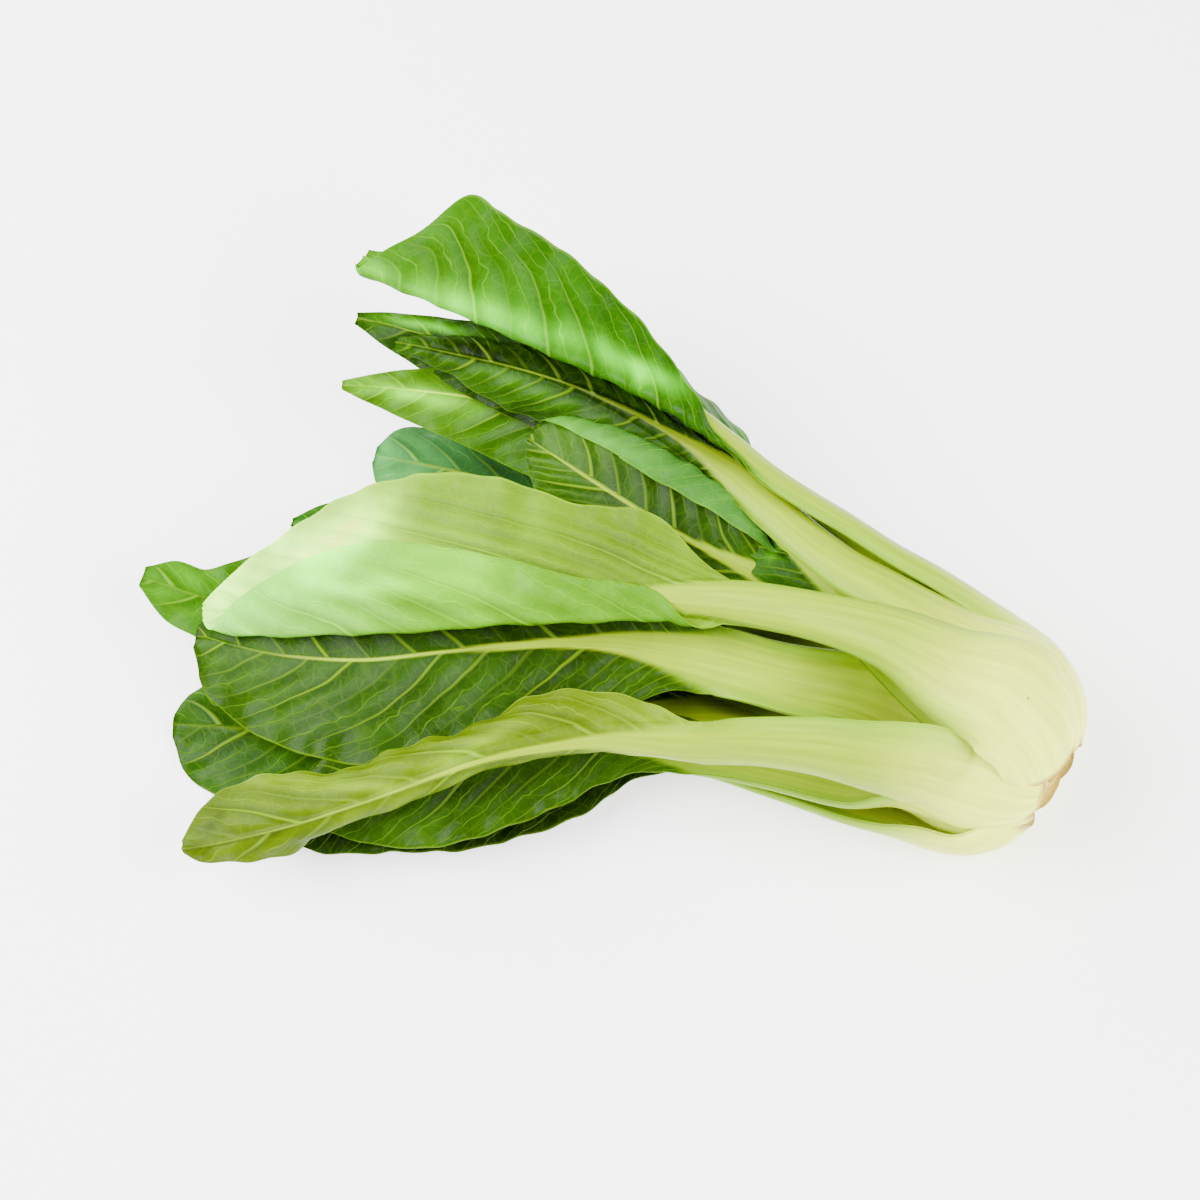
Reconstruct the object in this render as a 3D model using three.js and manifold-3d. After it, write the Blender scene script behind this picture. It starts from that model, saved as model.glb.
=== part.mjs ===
// A head of green-stemmed bok choy lying on a table, root cut to the right.
// Sixteen leaves stand round a short stem. Each leaf is a pale stalk and a
// thin green blade. Lengths are in millimetres, angles in degrees, +Z is up.
import * as THREE from 'three';
import Module from 'manifold-3d';

// Driving dimensions: the blade's thickness and the room between neighbours
const BLADE_THICK = 0.9;
const CLEAR = 0.32;

// The short stem: place of its cut face as the eye sees it, direction from
// the cut to the leaves, and its radius at some distances from the cut
const CUT_ACROSS = 113.5;
const CUT_UP = -57.5;
const CUT_HEIGHT = 25.8;
const STEM_RUN = [-0.82, 0.57, 0];
const STEM_SIDES = 20;
const STEM_SHAPE = [[0, 8], [2.5, 11.2], [5, 10.6], [8, 7.6], [12, 4.6], [18, 1.2]];

// The bulb: share of a stalk's own radius at some distances from the cut, for
// its course and for how its back is rounded
const BULGE_SHAPE = [[0, 0.4], [4, 0.68], [10, 0.88], [18, 1]];
const BULGE_ALONG = [[0, 0.42], [5, 0.62], [13, 0.86], [24, 1], [60, 1]];

// Stalk shape along its length: distance from the cut, share of the bulb's
// half width, plain half width, swelling on the back, swelling inside
const STALK_SHAPE = [
  [0, 0.34, 0.2, 1.6, 1.0],
  [5, 0.58, 0.3, 2.3, 1.1],
  [13, 0.86, 0.6, 2.8, 1.2],
  [24, 0.92, 1.4, 2.9, 1.2],
  [36, 0.62, 3.6, 2.8, 1.1],
  [50, 0.2, 6.1, 2.6, 1.0],
  [68, 0, 6.2, 2.5, 0.9],
  [90, 0, 5.2, 2.4, 0.9],
  [120, 0, 4.8, 2.3, 0.8],
];
const BULB_WIDTH = 0.53;
// Extra half width at the cut, given per leaf as clasp, is gone after this
const CLASP_LENGTH = 17;
// From the bulb to the neck the back gets rounder, down to this radius
const NECK_CURVE = 11;
const NECK_FROM = 15;
const NECK_LENGTH = 50;
const HALF_SKIN = 2;
const LEAST_HALF = 0.4;
// Stalks at the heart of the head are slimmer
const HEART_RADIUS = 18;
const HEART_SLIM = 0.8;
// The stalk runs on as the midrib over this share of the blade
const STALK_END = 0.8;
const MIDRIB_LEAST = 0.1;
const INNER_LEAST = 0.5;
const WRAP_LIMIT = 1.3;

// The blade opens from the stalk: how long before its first row, over what
// length, and the share of a half over which its edge lifts. A folded half
// starts to turn at TURN_SHARE of its width at the latest
const OPENS_EARLY = 14;
const OPENING = 30;
const LIFT_SHARE = 0.75;
const TURN_SHARE = 0.6;
const RUFFLE_LENGTH = 36;
const RUFFLE_DEPTH = 1.1;

// How finely a leaf is divided: rings and sides of the stalk, rows and columns
// of one half of the blade, steps of the walk across a half, how much closer
// columns stand where the blade bends, and how evenly rings and rows follow
const TURNED = { rings: 15, sides: 10, rows: 13, columns: 6 };
const OPEN = { rings: 14, sides: 10, rows: 13, columns: 4 };
const HIDDEN = { rings: 12, sides: 8, rows: 10, columns: 3 };
const WALK = 48;
const BEND_WEIGHT = 0.28;
const RINGS_EVEN = 0.35;
const ROWS_EVEN = 0.72;
const AHEAD_STEP = 0.4;

// The layout is written down as seen by an eye above the near side of the
// table. Each place is given by across, up and its height over the table.
const EYE_TILT = 65;
const EYE_FAR = 737;
const AIM_ACROSS = -3.9;
const AIM_UP = -10.4;

// Leaves, front ones first: a front leaf is kept whole and the one behind
// gives way. around and radius place the stalk on the bulb. girth scales the
// stalk width, clasp widens its base. turn folds one half of the blade over.
// Rows run from bulb to tip:
// across, up, height, roll, half widths (upper, lower), edge lifts (same)
const LEAVES = [
  {
    name: '01', around: 25, radius: 29.3, girth: 1, clasp: 6.5, green: 0xa6cf62, pale: 0xeaf3c4,
    turn: { half: 1, at: 4, over: 5, angle: -172 },
    rows: [
      [88, -28, 53.5, 22, 0, 0, 0, 0],
      [72, -20, 54, 15, 0, 0, 0, 0],
      [50, -14, 51, 8, 0, 0, 0, 0],
      [30, -10.8, 48.5, 0, 5, 5, 0, 0],
      [20, -10, 47, 0, 11, 8, 10, 0],
      [10, -9.6, 46, 0, 20, 15, 15, 0],
      [-10, -9.8, 43.5, 0, 24, 18.5, 20, 0],
      [-30, -10.6, 40.5, 0, 30.5, 24, 20, 0],
      [-50, -12, 36, 0, 34, 29, 20, 0],
      [-70, -13, 31, 0, 29, 28.5, 20, 0],
      [-88, -13.6, 26, 0, 20, 22, 15, 0],
      [-100, -13, 23.5, 0, 9, 13.5, 10, 0],
      [-107, -12.5, 22, 0, 1, 3, 0, 0],
    ],
  },
  {
    name: '02', around: 94, radius: 26, girth: 1, clasp: 0, green: 0x7db82a, pale: 0xdfeeb0,
    turn: { half: 1, at: 4, over: 6, angle: -160 },
    rows: [
      [96, -12.6, 38.5, 90, 0, 0, 0, 0],
      [84, -4.8, 42.5, 86, 0, 0, 0, 0],
      [72, 1.8, 45.3, 81, 0, 0, 0, 0],
      [60, 9.5, 47.5, 76, 0, 0, 0, 0],
      [50, 15.5, 48.5, 72, 0, 0, 0, 0],
      [40, 22, 50, 68, 4.5, 4.5, 0, 0],
      [30, 30, 52, 60, 13, 8, 15, 0],
      [16, 41, 55, 50, 17, 16, 20, 0],
      [0, 50, 57, 42, 19, 26, 20, 0],
      [-15, 57, 58, 40, 20, 31, 20, 0],
      [-30, 64, 57.5, 38, 21, 35, 20, 0],
      [-42, 69, 56.5, 38, 20, 37, 15, 0],
      [-49, 72, 55.6, 38, 15, 37.5, 12, 0],
      [-54, 74, 55, 38, 10, 25, 8, 0],
      [-60, 76.3, 54.4, 38, 6, 15, 0, 0],
      [-65.5, 78.5, 54, 38, 3, 5, 0, 0],
    ],
  },
  {
    name: '03', around: -38, radius: 22.8, girth: 1.25, clasp: 0, green: 0xa3b84a, pale: 0xdbe39a,
    rows: [
      [78, -55.5, 42, -40, 0, 0, 0, 0],
      [65, -53, 43, -42, 0, 0, 0, 0],
      [50, -50, 42, -42, 0, 0, 0, 0],
      [30, -47.8, 40, -42, 4.5, 5.5, 0, 10],
      [18, -47.8, 39.4, -40, 6.5, 7, 30, 40],
      [8, -47, 39, -36, 10, 9, 55, 75],
      [-5, -46.2, 38.4, -30, 13, 12, 75, 100],
      [-20, -48.2, 37.3, -26, 14.5, 13, 88, 115],
      [-35, -51.5, 36, -22, 13.5, 13, 95, 120],
      [-50, -57, 33.5, -18, 12, 13, 90, 115],
      [-66, -63, 30.5, -12, 12, 12, 75, 100],
      [-84, -69, 26.8, -6, 15, 9, 55, 70],
      [-100, -73, 22.8, 0, 14, 6, 35, 30],
      [-108, -74.5, 20.8, 0, 9, 4, 15, 0],
      [-112.5, -75, 20, 0, 2, 1.5, 0, 0],
    ],
  },
  {
    name: '04', around: 57, radius: 26.5, girth: 1.05, clasp: 0, green: 0x6f9a3a, pale: 0xe2eeb4,
    rows: [
      [90, -18.4, 49, 48, 0, 0, 0, 0],
      [80, -12.8, 49.5, 44, 0, 0, 0, 0],
      [70, -7.2, 49.5, 40, 0, 0, 0, 0],
      [60, -1.8, 48.5, 36, 0, 0, 0, 0],
      [50, 5.4, 47.5, 32, 0, 0, 0, 0],
      [40, 14, 46, 28, 4.5, 4.5, 20, 10],
      [30, 22.3, 44.5, 24, 8, 6, 60, 35],
      [20, 29, 43.5, 20, 11, 8, 80, 60],
      [5, 37.5, 43.5, 15, 14, 11, 90, 65],
      [-10, 44.5, 43.2, 12, 15, 14, 90, 60],
      [-25, 49.5, 42.5, 10, 15, 12, 85, 55],
      [-40, 53, 41.5, 10, 12, 6, 80, 50],
      [-50, 55.2, 40.8, 10, 7, 4, 60, 40],
      [-57, 56.5, 40, 10, 2, 2, 0, 0],
    ],
  },
  {
    name: '05', around: 175, radius: 11, girth: 0.75, clasp: 0, green: 0x5f8f30, pale: 0xc9dc84,
    turn: { half: 1, at: 14, over: 4, angle: 165 },
    rows: [
      [80, -33, 23, 178, 0, 0, 0, 0],
      [62, -17, 29, 176, 0, 0, 0, 0],
      [47, -8, 34.5, 175, 4.5, 4.5, 0, 0],
      [38, -4, 36, 175, 12, 9, 10, 0],
      [32, -1, 36.8, 175, 16, 15, 12, 0],
      [24, 2.8, 37.6, 175, 20, 22, 15, 0],
      [10, 10.7, 38.6, 176, 24, 24, 15, 0],
      [-5, 20, 39.2, 176, 22, 23, 10, 0],
      [-15, 26.5, 39.4, 176, 10, 16, 5, 0],
      [-21, 30.5, 39.4, 176, 4.5, 9, 0, 0],
      [-22.5, 31.5, 39.3, 176, 1.5, 2.5, 0, 0],
    ],
  },
  {
    name: '06', around: -172, radius: 20, girth: 1.6, clasp: 0, green: 0x557f1c, pale: 0xc6dc78,
    rows: [
      [82, -42, 11.5, -172, 0, 0, 0, 0],
      [64, -35, 18, -175, 0, 0, 0, 0],
      [45, -31, 22.5, -178, 0, 0, 0, 0],
      [28, -26.5, 24, 180, 8, 8, 0, 0],
      [15, -24, 24.5, -178, 10, 10, 5, 5],
      [0, -22, 25, -176, 19, 18, 12, 10],
      [-20, -22, 25, -174, 26, 24, 15, 12],
      [-45, -24, 24, -172, 28.5, 26, 12, 12],
      [-65, -26, 22, -172, 27, 25, 10, 10],
      [-85, -25, 20, -172, 22, 20, 8, 8],
      [-98, -22.5, 18.8, -172, 16, 13, 5, 5],
      [-105, -20.5, 18.2, -172, 10, 8.5, 0, 0],
      [-109, -19.8, 18, -172, 3, 3, 0, 0],
    ],
  },
  {
    name: '07', around: -106, radius: 27.5, girth: 1.3, clasp: 7, green: 0x5f8a22, pale: 0xe3ecc0,
    rows: [
      [72, -66.5, 8.2, -118, 0, 0, 0, 0],
      [58, -62, 8.2, -130, 0, 0, 0, 0],
      [40, -56, 9, -139, 0, 0, 0, 0],
      [22, -49.5, 10, -146, 7, 7, 0, 0],
      [10, -47.5, 10.5, -150, 10, 9, 5, 5],
      [-3, -47, 11, -153, 15, 13, 8, 8],
      [-20, -50.5, 11, -155, 21, 17, 8, 10],
      [-40, -55, 10.3, -155, 21, 18, 8, 10],
      [-60, -60, 9.3, -155, 18, 16, 5, 8],
      [-78, -66, 8.6, -155, 11, 10, 5, 5],
      [-90, -70, 8, -155, 2.5, 2.5, 0, 0],
    ],
  },
  {
    name: '08', around: -82, radius: 21.5, girth: 1, clasp: 0, hidden: true,
    green: 0x7da33a, pale: 0xcfdf8c,
    rows: [
      [74, -60.5, 20.5, -108, 0, 0, 0, 0],
      [60, -59, 18.5, -130, 0, 0, 0, 0],
      [40, -54.5, 19, -140, 0, 0, 0, 0],
      [22, -50.5, 19.5, -148, 6, 6, 0, 0],
      [8, -48, 20, -152, 8, 8, 0, 0],
      [-5, -48, 20, -155, 11, 11, 5, 5],
      [-20, -49.5, 19.5, -157, 16, 13, 5, 5],
      [-38, -52.5, 18.5, -158, 20, 14, 5, 5],
      [-55, -56, 17, -158, 19, 13, 5, 5],
      [-72, -60, 15.5, -158, 13, 9, 0, 0],
      [-86, -64, 14.5, -158, 2.5, 2.5, 0, 0],
    ],
  },
  {
    name: '09', around: 110, radius: 12, girth: 0.85, clasp: 0, hidden: true,
    green: 0x6e9f3c, pale: 0xcfdf8c,
    rows: [
      [82, -20, 31, 140, 0, 0, 0, 0],
      [60, -5, 31, 160, 0, 0, 0, 0],
      [40, 5, 31, 168, 4, 4, 0, 0],
      [20, 19, 31, 170, 12, 10, 10, 5],
      [0, 31, 30.5, 172, 16, 12, 10, 5],
      [-20, 38.5, 30, 172, 16, 11, 10, 5],
      [-35, 42, 29.5, 172, 13, 9, 8, 5],
      [-50, 44, 29, 172, 9, 6, 5, 5],
      [-62, 45, 28.5, 172, 5, 3.5, 0, 0],
      [-71, 45.5, 28, 172, 1.2, 1.2, 0, 0],
    ],
  },
  {
    name: '10', around: 80, radius: 15, girth: 0.9, clasp: 0, hidden: true,
    green: 0x4f7f22, pale: 0xcfdf8c,
    rows: [
      [82, -11, 33, 120, 0, 0, 0, 0],
      [62, 1, 35, 150, 0, 0, 0, 0],
      [44, 11.5, 36, 165, 4.5, 4.5, 0, 0],
      [28, 22.5, 37, 168, 12, 9, 5, 5],
      [10, 33.5, 37.5, 170, 15, 11, 8, 5],
      [-10, 45.5, 38, 170, 15, 11, 8, 5],
      [-30, 53, 37.5, 170, 13, 8, 5, 5],
      [-48, 58.3, 37, 170, 9, 5, 5, 5],
      [-60, 61.5, 36.3, 170, 5, 3, 0, 0],
      [-67, 63, 36, 170, 1.5, 1.5, 0, 0],
    ],
  },
  {
    name: '11', around: 30, radius: 6, girth: 0.6, clasp: 0, hidden: true,
    green: 0x8fc24a, pale: 0xdceaa6,
    rows: [
      [85, -35, 36, 40, 0, 0, 0, 0],
      [68, -18, 38, 30, 0, 0, 0, 0],
      [58, -8, 39, 25, 3.5, 3.5, 0, 0],
      [50, -2, 39.5, 20, 8, 8, 30, 30],
      [42, 5, 39.5, 20, 9, 10, 40, 40],
      [36, 11, 39, 20, 6, 7, 20, 20],
      [33, 14, 38.5, 20, 1, 1, 0, 0],
    ],
  },
  {
    name: '12', around: -163, radius: 24.4, girth: 1.1, clasp: 0, hidden: true,
    green: 0x3f6a22, pale: 0xdde9b4,
    rows: [
      [80, -47, 3.6, -160, 0, 0, 0, 0],
      [55, -42.5, 4.5, -156, 0, 0, 0, 0],
      [30, -40, 5.5, -155, 6, 6, 0, 0],
      [15, -39.5, 5.1, -155, 12, 12, -8, -8],
      [-10, -40, 5.3, -155, 20, 19, -14, -14],
      [-40, -41.5, 5.3, -155, 22, 21, -16, -16],
      [-70, -43, 5.3, -155, 22, 20, -16, -16],
      [-92, -44, 4.9, -155, 20, 18, -16, -16],
      [-105, -43.5, 4.3, -155, 16, 16, -14, -14],
      [-112, -43, 3.8, -155, 10, 10, -8, -8],
      [-115, -43, 3.6, -155, 3, 3, 0, 0],
    ],
  },
  {
    name: '13', around: 150, radius: 24.5, girth: 1.1, clasp: 0, hidden: true,
    green: 0x6da35c, pale: 0xdde9b4,
    rows: [
      [84, -29, 8, 168, 0, 0, 0, 0],
      [62, -19.5, 5, -172, 0, 0, 0, 0],
      [35, -7, 5, -160, 5, 5, 0, 0],
      [18, 2, 4, -155, 12, 12, -8, -8],
      [0, 9.5, 4.4, -155, 17, 17, -12, -12],
      [-20, 17, 4.8, -155, 19, 19, -14, -14],
      [-40, 22.5, 5, -155, 17, 17, -14, -14],
      [-54, 25.5, 5, -155, 12, 12, -12, -12],
      [-60, 26.5, 4.9, -155, 8, 8.5, -8, -8],
      [-62.5, 27, 4.8, -155, 2.5, 2.5, 0, 0],
    ],
  },
  {
    name: '14', around: 140, radius: 13, girth: 0.85, clasp: 0, hidden: true,
    green: 0x3f6f20, pale: 0xcfdf8c,
    rows: [
      [82, -21, 23, 150, 0, 0, 0, 0],
      [60, -8, 22, 165, 0, 0, 0, 0],
      [38, 1, 21, 175, 4, 4, 0, 0],
      [20, 14, 22, 178, 12, 12, 8, 5],
      [0, 27, 23, 178, 14, 14, 8, 5],
      [-14, 36, 24, 178, 13, 13, 8, 5],
      [-36, 43, 25, 178, 9, 9, 5, 5],
      [-47, 47, 25.5, 178, 4.5, 5, 0, 0],
      [-51, 48.5, 25.5, 178, 1, 1, 0, 0],
    ],
  },
  {
    name: '15', around: -125, radius: 13, girth: 0.85, clasp: 0, hidden: true,
    green: 0x69a06a, pale: 0xcfdf8c,
    rows: [
      [80, -52, 17.5, -135, 0, 0, 0, 0],
      [65, -47, 14, -145, 0, 0, 0, 0],
      [50, -41, 12, -155, 0, 0, 0, 0],
      [25, -30.5, 11.5, -160, 5, 5, 0, 0],
      [8, -24.5, 11.5, -160, 10, 10, 5, 5],
      [-45, -15.5, 11.6, -160, 19, 19, 5, 5],
      [-75, -12.5, 12, -160, 18, 18, 5, 5],
      [-95, -11.5, 13, -160, 15, 13, 5, 5],
      [-108, -9.5, 14.5, -160, 10, 8, 5, 5],
      [-117, -6.5, 16, -160, 7, 7, 0, 0],
      [-123, -4.5, 17, -160, 2.5, 2.5, 0, 0],
    ],
  },
  {
    name: '16', around: 170, radius: 9, girth: 0.7, clasp: 0, hidden: true,
    green: 0x76a865, pale: 0xcfdf8c,
    rows: [
      [82, -30, 15, 178, 0, 0, 0, 0],
      [62, -23, 15, -178, 0, 0, 0, 0],
      [45, -18.5, 16, -175, 0, 0, 0, 0],
      [28, -13, 17.3, -172, 6, 6, 0, 0],
      [12, -7, 18.2, -172, 10, 10, 5, 5],
      [-35, 3, 18.6, -172, 14, 14, 5, 5],
      [-58, 5.5, 18.4, -172, 12, 12, 5, 5],
      [-75, 8, 18.2, -172, 7, 7, 0, 0],
      [-84, 9.7, 18, -172, 1, 1, 0, 0],
    ],
  },
];

const wasm = await Module();
wasm.setup();

const rad = (degrees) => degrees * Math.PI / 180;
const vec = (x, y, z) => new THREE.Vector3(x, y, z);
const RIGHT = vec(1, 0, 0);
const UP = vec(0, Math.sin(rad(EYE_TILT)), Math.cos(rad(EYE_TILT)));
const NEAR = vec(0, -Math.cos(rad(EYE_TILT)), Math.sin(rad(EYE_TILT)));

function mixOf(parts) {
  const sum = vec(0, 0, 0);
  for (const [v, amount] of parts) sum.addScaledVector(v, amount);
  return sum;
}

const EYE = mixOf([[RIGHT, AIM_ACROSS], [UP, AIM_UP], [NEAR, EYE_FAR]]);

// The place at this height that the eye sees at across and up
function seen(across, up, height) {
  const onPlane = mixOf([[RIGHT, across], [UP, up]]);
  const far = (height - EYE.z) / (onPlane.z - EYE.z);
  return mixOf([[EYE, 1 - far], [onPlane, far]]);
}

function ease(x) {
  const c = Math.min(1, Math.max(0, x));
  return c * c * (3 - 2 * c);
}

// A smooth curve through rows of numbers that stand at rising knots
function through(knots, rows) {
  const last = knots.length - 1;
  const slope = (i, k) => {
    const a = Math.max(0, i - 1);
    const b = Math.min(last, i + 1);
    return (rows[b][k] - rows[a][k]) / (knots[b] - knots[a]);
  };
  return (at) => {
    let i = 0;
    while (i < last - 1 && at > knots[i + 1]) i += 1;
    const span = knots[i + 1] - knots[i];
    const f = Math.min(1, Math.max(0, (at - knots[i]) / span));
    const g = 1 - f;
    return rows[i].map((v, k) => v * g * g * (1 + 2 * f) + rows[i + 1][k] * f * f * (3 - 2 * f)
      + span * f * g * (g * slope(i, k) - f * slope(i + 1, k)));
  };
}

const bulgeAlong = through(BULGE_ALONG.map((r) => r[0]), BULGE_ALONG.map((r) => [r[1]]));
const stalkShape = through(STALK_SHAPE.map((r) => r[0]), STALK_SHAPE.map((r) => r.slice(1)));

// The bulb's axis and two directions square to it
const CUT_CENTRE = seen(CUT_ACROSS, CUT_UP, CUT_HEIGHT);
const AXIS = vec(...STEM_RUN).normalize();
const OUT_NEAR = mixOf([[NEAR, 1], [AXIS, -NEAR.dot(AXIS)]]).normalize();
const OUT_UP = AXIS.clone().cross(OUT_NEAR);

// The whole course of a leaf: place, direction of its back, widths, lifts
function course(leaf) {
  const out = mixOf([[OUT_NEAR, Math.cos(rad(leaf.around))], [OUT_UP, Math.sin(rad(leaf.around))]]);
  const places = [];
  const backs = [];
  const rest = [];
  for (const [along, share] of BULGE_SHAPE) {
    places.push(mixOf([[CUT_CENTRE, 1], [AXIS, along], [out, leaf.radius * share]]));
    backs.push(out);
    rest.push([0, 0, 0, 0]);
  }
  for (const row of leaf.rows) places.push(seen(row[0], row[1], row[2]));
  for (const [n, row] of leaf.rows.entries()) {
    const i = BULGE_SHAPE.length + n;
    const ahead = places[Math.min(i + 1, places.length - 1)].clone().sub(places[i - 1]).normalize();
    const facing = mixOf([[NEAR, 1], [ahead, -NEAR.dot(ahead)]]).normalize();
    const side = ahead.clone().cross(facing);
    backs.push(mixOf([[facing, Math.cos(rad(row[3]))], [side, Math.sin(rad(row[3]))]]));
    rest.push(row.slice(4));
  }
  const knots = [0];
  for (let i = 1; i < places.length; i += 1) {
    knots.push(knots[i - 1] + places[i].distanceTo(places[i - 1]));
  }
  const numbers = places.map((p, i) => [...p.toArray(), ...backs[i].toArray(), ...rest[i]]);
  const firstWide = BULGE_SHAPE.length + leaf.rows.findIndex((row) => row[4] > 0);
  return {
    at: through(knots, numbers),
    opens: knots[firstWide],
    ends: knots[knots.length - 1],
  };
}

// Half width, swellings and curving of the stalk at this distance from the cut
function stalkAt(leaf, run, s) {
  const [bulb, plain, back, inner] = stalkShape(Math.min(s, run.opens));
  const gone = Math.max(0, (s - run.opens) / (STALK_END * (run.ends - run.opens)));
  const left = Math.max(MIDRIB_LEAST, 1 - gone) ** 2;
  const base = bulb * BULB_WIDTH * (leaf.radius + HALF_SKIN) + leaf.clasp * (1 - ease(s / CLASP_LENGTH));
  const wide = (base + plain * leaf.girth) * left + LEAST_HALF;
  const slim = leaf.radius < HEART_RADIUS ? HEART_SLIM : 1;
  const narrowed = ease((s - NECK_FROM) / NECK_LENGTH);
  const round = leaf.radius * bulgeAlong(s)[0] + HALF_SKIN;
  const curved = round * (1 - narrowed) + NECK_CURVE * narrowed;
  const flat = Math.sqrt(Math.sqrt(left));
  return { wide, back: back * slim * flat, inner: inner * slim * left + INNER_LEAST, curved };
}

// The cross-section of a leaf: a walk outward from the midrib on each side
function section(leaf, run, s, foldable) {
  const here = run.at(s);
  const place = vec(here[0], here[1], here[2]);
  const a = run.at(Math.max(0, s - AHEAD_STEP));
  const b = run.at(Math.min(run.ends, s + AHEAD_STEP));
  const ahead = vec(b[0] - a[0], b[1] - a[1], b[2] - a[2]).normalize();
  const guide = vec(here[3], here[4], here[5]);
  const back = mixOf([[guide, 1], [ahead, -guide.dot(ahead)]]).normalize();
  const side = ahead.clone().cross(back);
  const stalk = stalkAt(leaf, run, s);
  const opened = ease((s - run.opens + OPENS_EARLY) / OPENING);
  const halves = [1, -1].map((sign, h) => {
    const reach = Math.max(foldable ? LEAST_HALF : stalk.wide + CLEAR, here[6 + h]);
    const angle = (w) => {
      let blade = here[8 + h] * ease(w / (LIFT_SHARE * reach));
      const turn = leaf.turn;
      if (foldable && turn && turn.half === h) {
        const from = Math.min(turn.at, TURN_SHARE * reach);
        blade += turn.angle * ease((w - from) / turn.over);
      }
      return rad(blade) * opened + Math.min(WRAP_LIMIT, w / stalk.curved) * (1 - opened);
    };
    const spots = [place.clone()];
    const angles = [0];
    const weight = [0];
    const step = reach / WALK;
    for (let k = 1; k <= WALK; k += 1) {
      const mid = angle((k - 0.5) * step);
      const outward = sign * step * Math.cos(mid);
      spots.push(mixOf([[spots[k - 1], 1], [side, outward], [back, -step * Math.sin(mid)]]));
      angles.push(angle(k * step));
      weight.push(weight[k - 1] + 1 / WALK + BEND_WEIGHT * Math.abs(angles[k] - angles[k - 1]));
    }
    return { sign, reach, step, spots, angles, weight };
  });
  const ruffle = RUFFLE_DEPTH * Math.sin(2 * Math.PI * s / RUFFLE_LENGTH + leaf.around);
  const at = (w, off) => {
    const half = w >= 0 ? halves[0] : halves[1];
    const far = Math.abs(w) / half.step;
    const k = Math.min(WALK - 1, Math.floor(far));
    const f = far - k;
    const turned = half.angles[k] * (1 - f) + half.angles[k + 1] * f;
    const spot = half.spots[k].clone().lerp(half.spots[k + 1], f);
    const wave = foldable ? ruffle * opened * (far / WALK) ** 2 : 0;
    const out = off + wave;
    return mixOf([[spot, 1], [back, out * Math.cos(turned)], [side, out * half.sign * Math.sin(turned)]]);
  };
  // Columns stand closer together where the blade bends
  const column = (h, share) => {
    const half = halves[h];
    const wanted = share * half.weight[WALK];
    let k = 0;
    while (k < WALK - 1 && half.weight[k + 1] < wanted) k += 1;
    const f = (wanted - half.weight[k]) / (half.weight[k + 1] - half.weight[k]);
    return half.sign * (k + f) * half.step;
  };
  return { at, column, stalk, ahead };
}

function solidFrom(points, triangles) {
  const vertProperties = new Float32Array(points.flatMap((p) => p.toArray()));
  const mesh = new wasm.Mesh({ numProp: 3, vertProperties, triVerts: new Uint32Array(triangles.flat()) });
  return new wasm.Manifold(mesh);
}

// A closed body from rings of points that follow one another
function fromRings(rings) {
  const around = rings[0].length;
  const triangles = [];
  for (let r = 0; r + 1 < rings.length; r += 1) {
    for (let k = 0; k < around; k += 1) {
      const a = r * around + k;
      const b = r * around + (k + 1) % around;
      triangles.push([a, b, b + around], [a, b + around, a + around]);
    }
  }
  const points = rings.flat();
  for (const [r, flip] of [[0, true], [rings.length - 1, false]]) {
    const middle = mixOf(rings[r].map((p) => [p, 1 / around]));
    points.push(middle);
    for (let k = 0; k < around; k += 1) {
      const a = r * around + k;
      const b = r * around + (k + 1) % around;
      triangles.push(flip ? [b, a, points.length - 1] : [a, b, points.length - 1]);
    }
  }
  return solidFrom(points, triangles);
}

function finenessOf(leaf) {
  if (leaf.turn) return TURNED;
  return leaf.hidden ? HIDDEN : OPEN;
}

// How far the first and last ring are moved out when a body is grown
function endShift(r, count, grow) {
  if (r === 0) return -grow;
  return r === count - 1 ? grow : 0;
}

function stalkSolid(leaf, run, grow) {
  const { rings: ringCount, sides } = finenessOf(leaf);
  const until = run.opens + STALK_END * (run.ends - run.opens);
  const rings = [];
  for (let r = 0; r < ringCount; r += 1) {
    const f = r / (ringCount - 1);
    const cut = section(leaf, run, until * f * (RINGS_EVEN + (1 - RINGS_EVEN) * f), false);
    const ring = [];
    for (let k = 0; k < sides; k += 1) {
      const turn = -2 * Math.PI * k / sides;
      const across = (cut.stalk.wide + grow) * Math.cos(turn);
      const swell = (Math.sin(turn) > 0 ? cut.stalk.back : cut.stalk.inner) + grow;
      const spot = cut.at(across, swell * Math.sin(turn));
      ring.push(spot.addScaledVector(cut.ahead, endShift(r, ringCount, grow)));
    }
    rings.push(ring);
  }
  return fromRings(rings);
}

function bladeSolid(leaf, run, grow) {
  const { rows: rowCount, columns: count } = finenessOf(leaf);
  const rings = [];
  const half = BLADE_THICK / 2 + grow;
  for (let r = 0; r < rowCount; r += 1) {
    const f = r / (rowCount - 1);
    const share = ROWS_EVEN * f + (1 - ROWS_EVEN) * (1 - Math.cos(Math.PI * f)) / 2;
    const s = run.opens + (run.ends - run.opens) * share;
    const cut = section(leaf, run, s, true);
    const columns = [];
    for (let k = count; k > 0; k -= 1) columns.push(cut.column(1, k / count) - (k === count ? grow : 0));
    for (let k = 0; k <= count; k += 1) columns.push(cut.column(0, k / count) + (k === count ? grow : 0));
    const shift = endShift(r, rowCount, grow);
    const face = (off) => columns.map((w) => cut.at(w, off).addScaledVector(cut.ahead, shift));
    rings.push([...face(half), ...face(-half).reverse()]);
  }
  return sheetSolid(rings);
}

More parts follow.
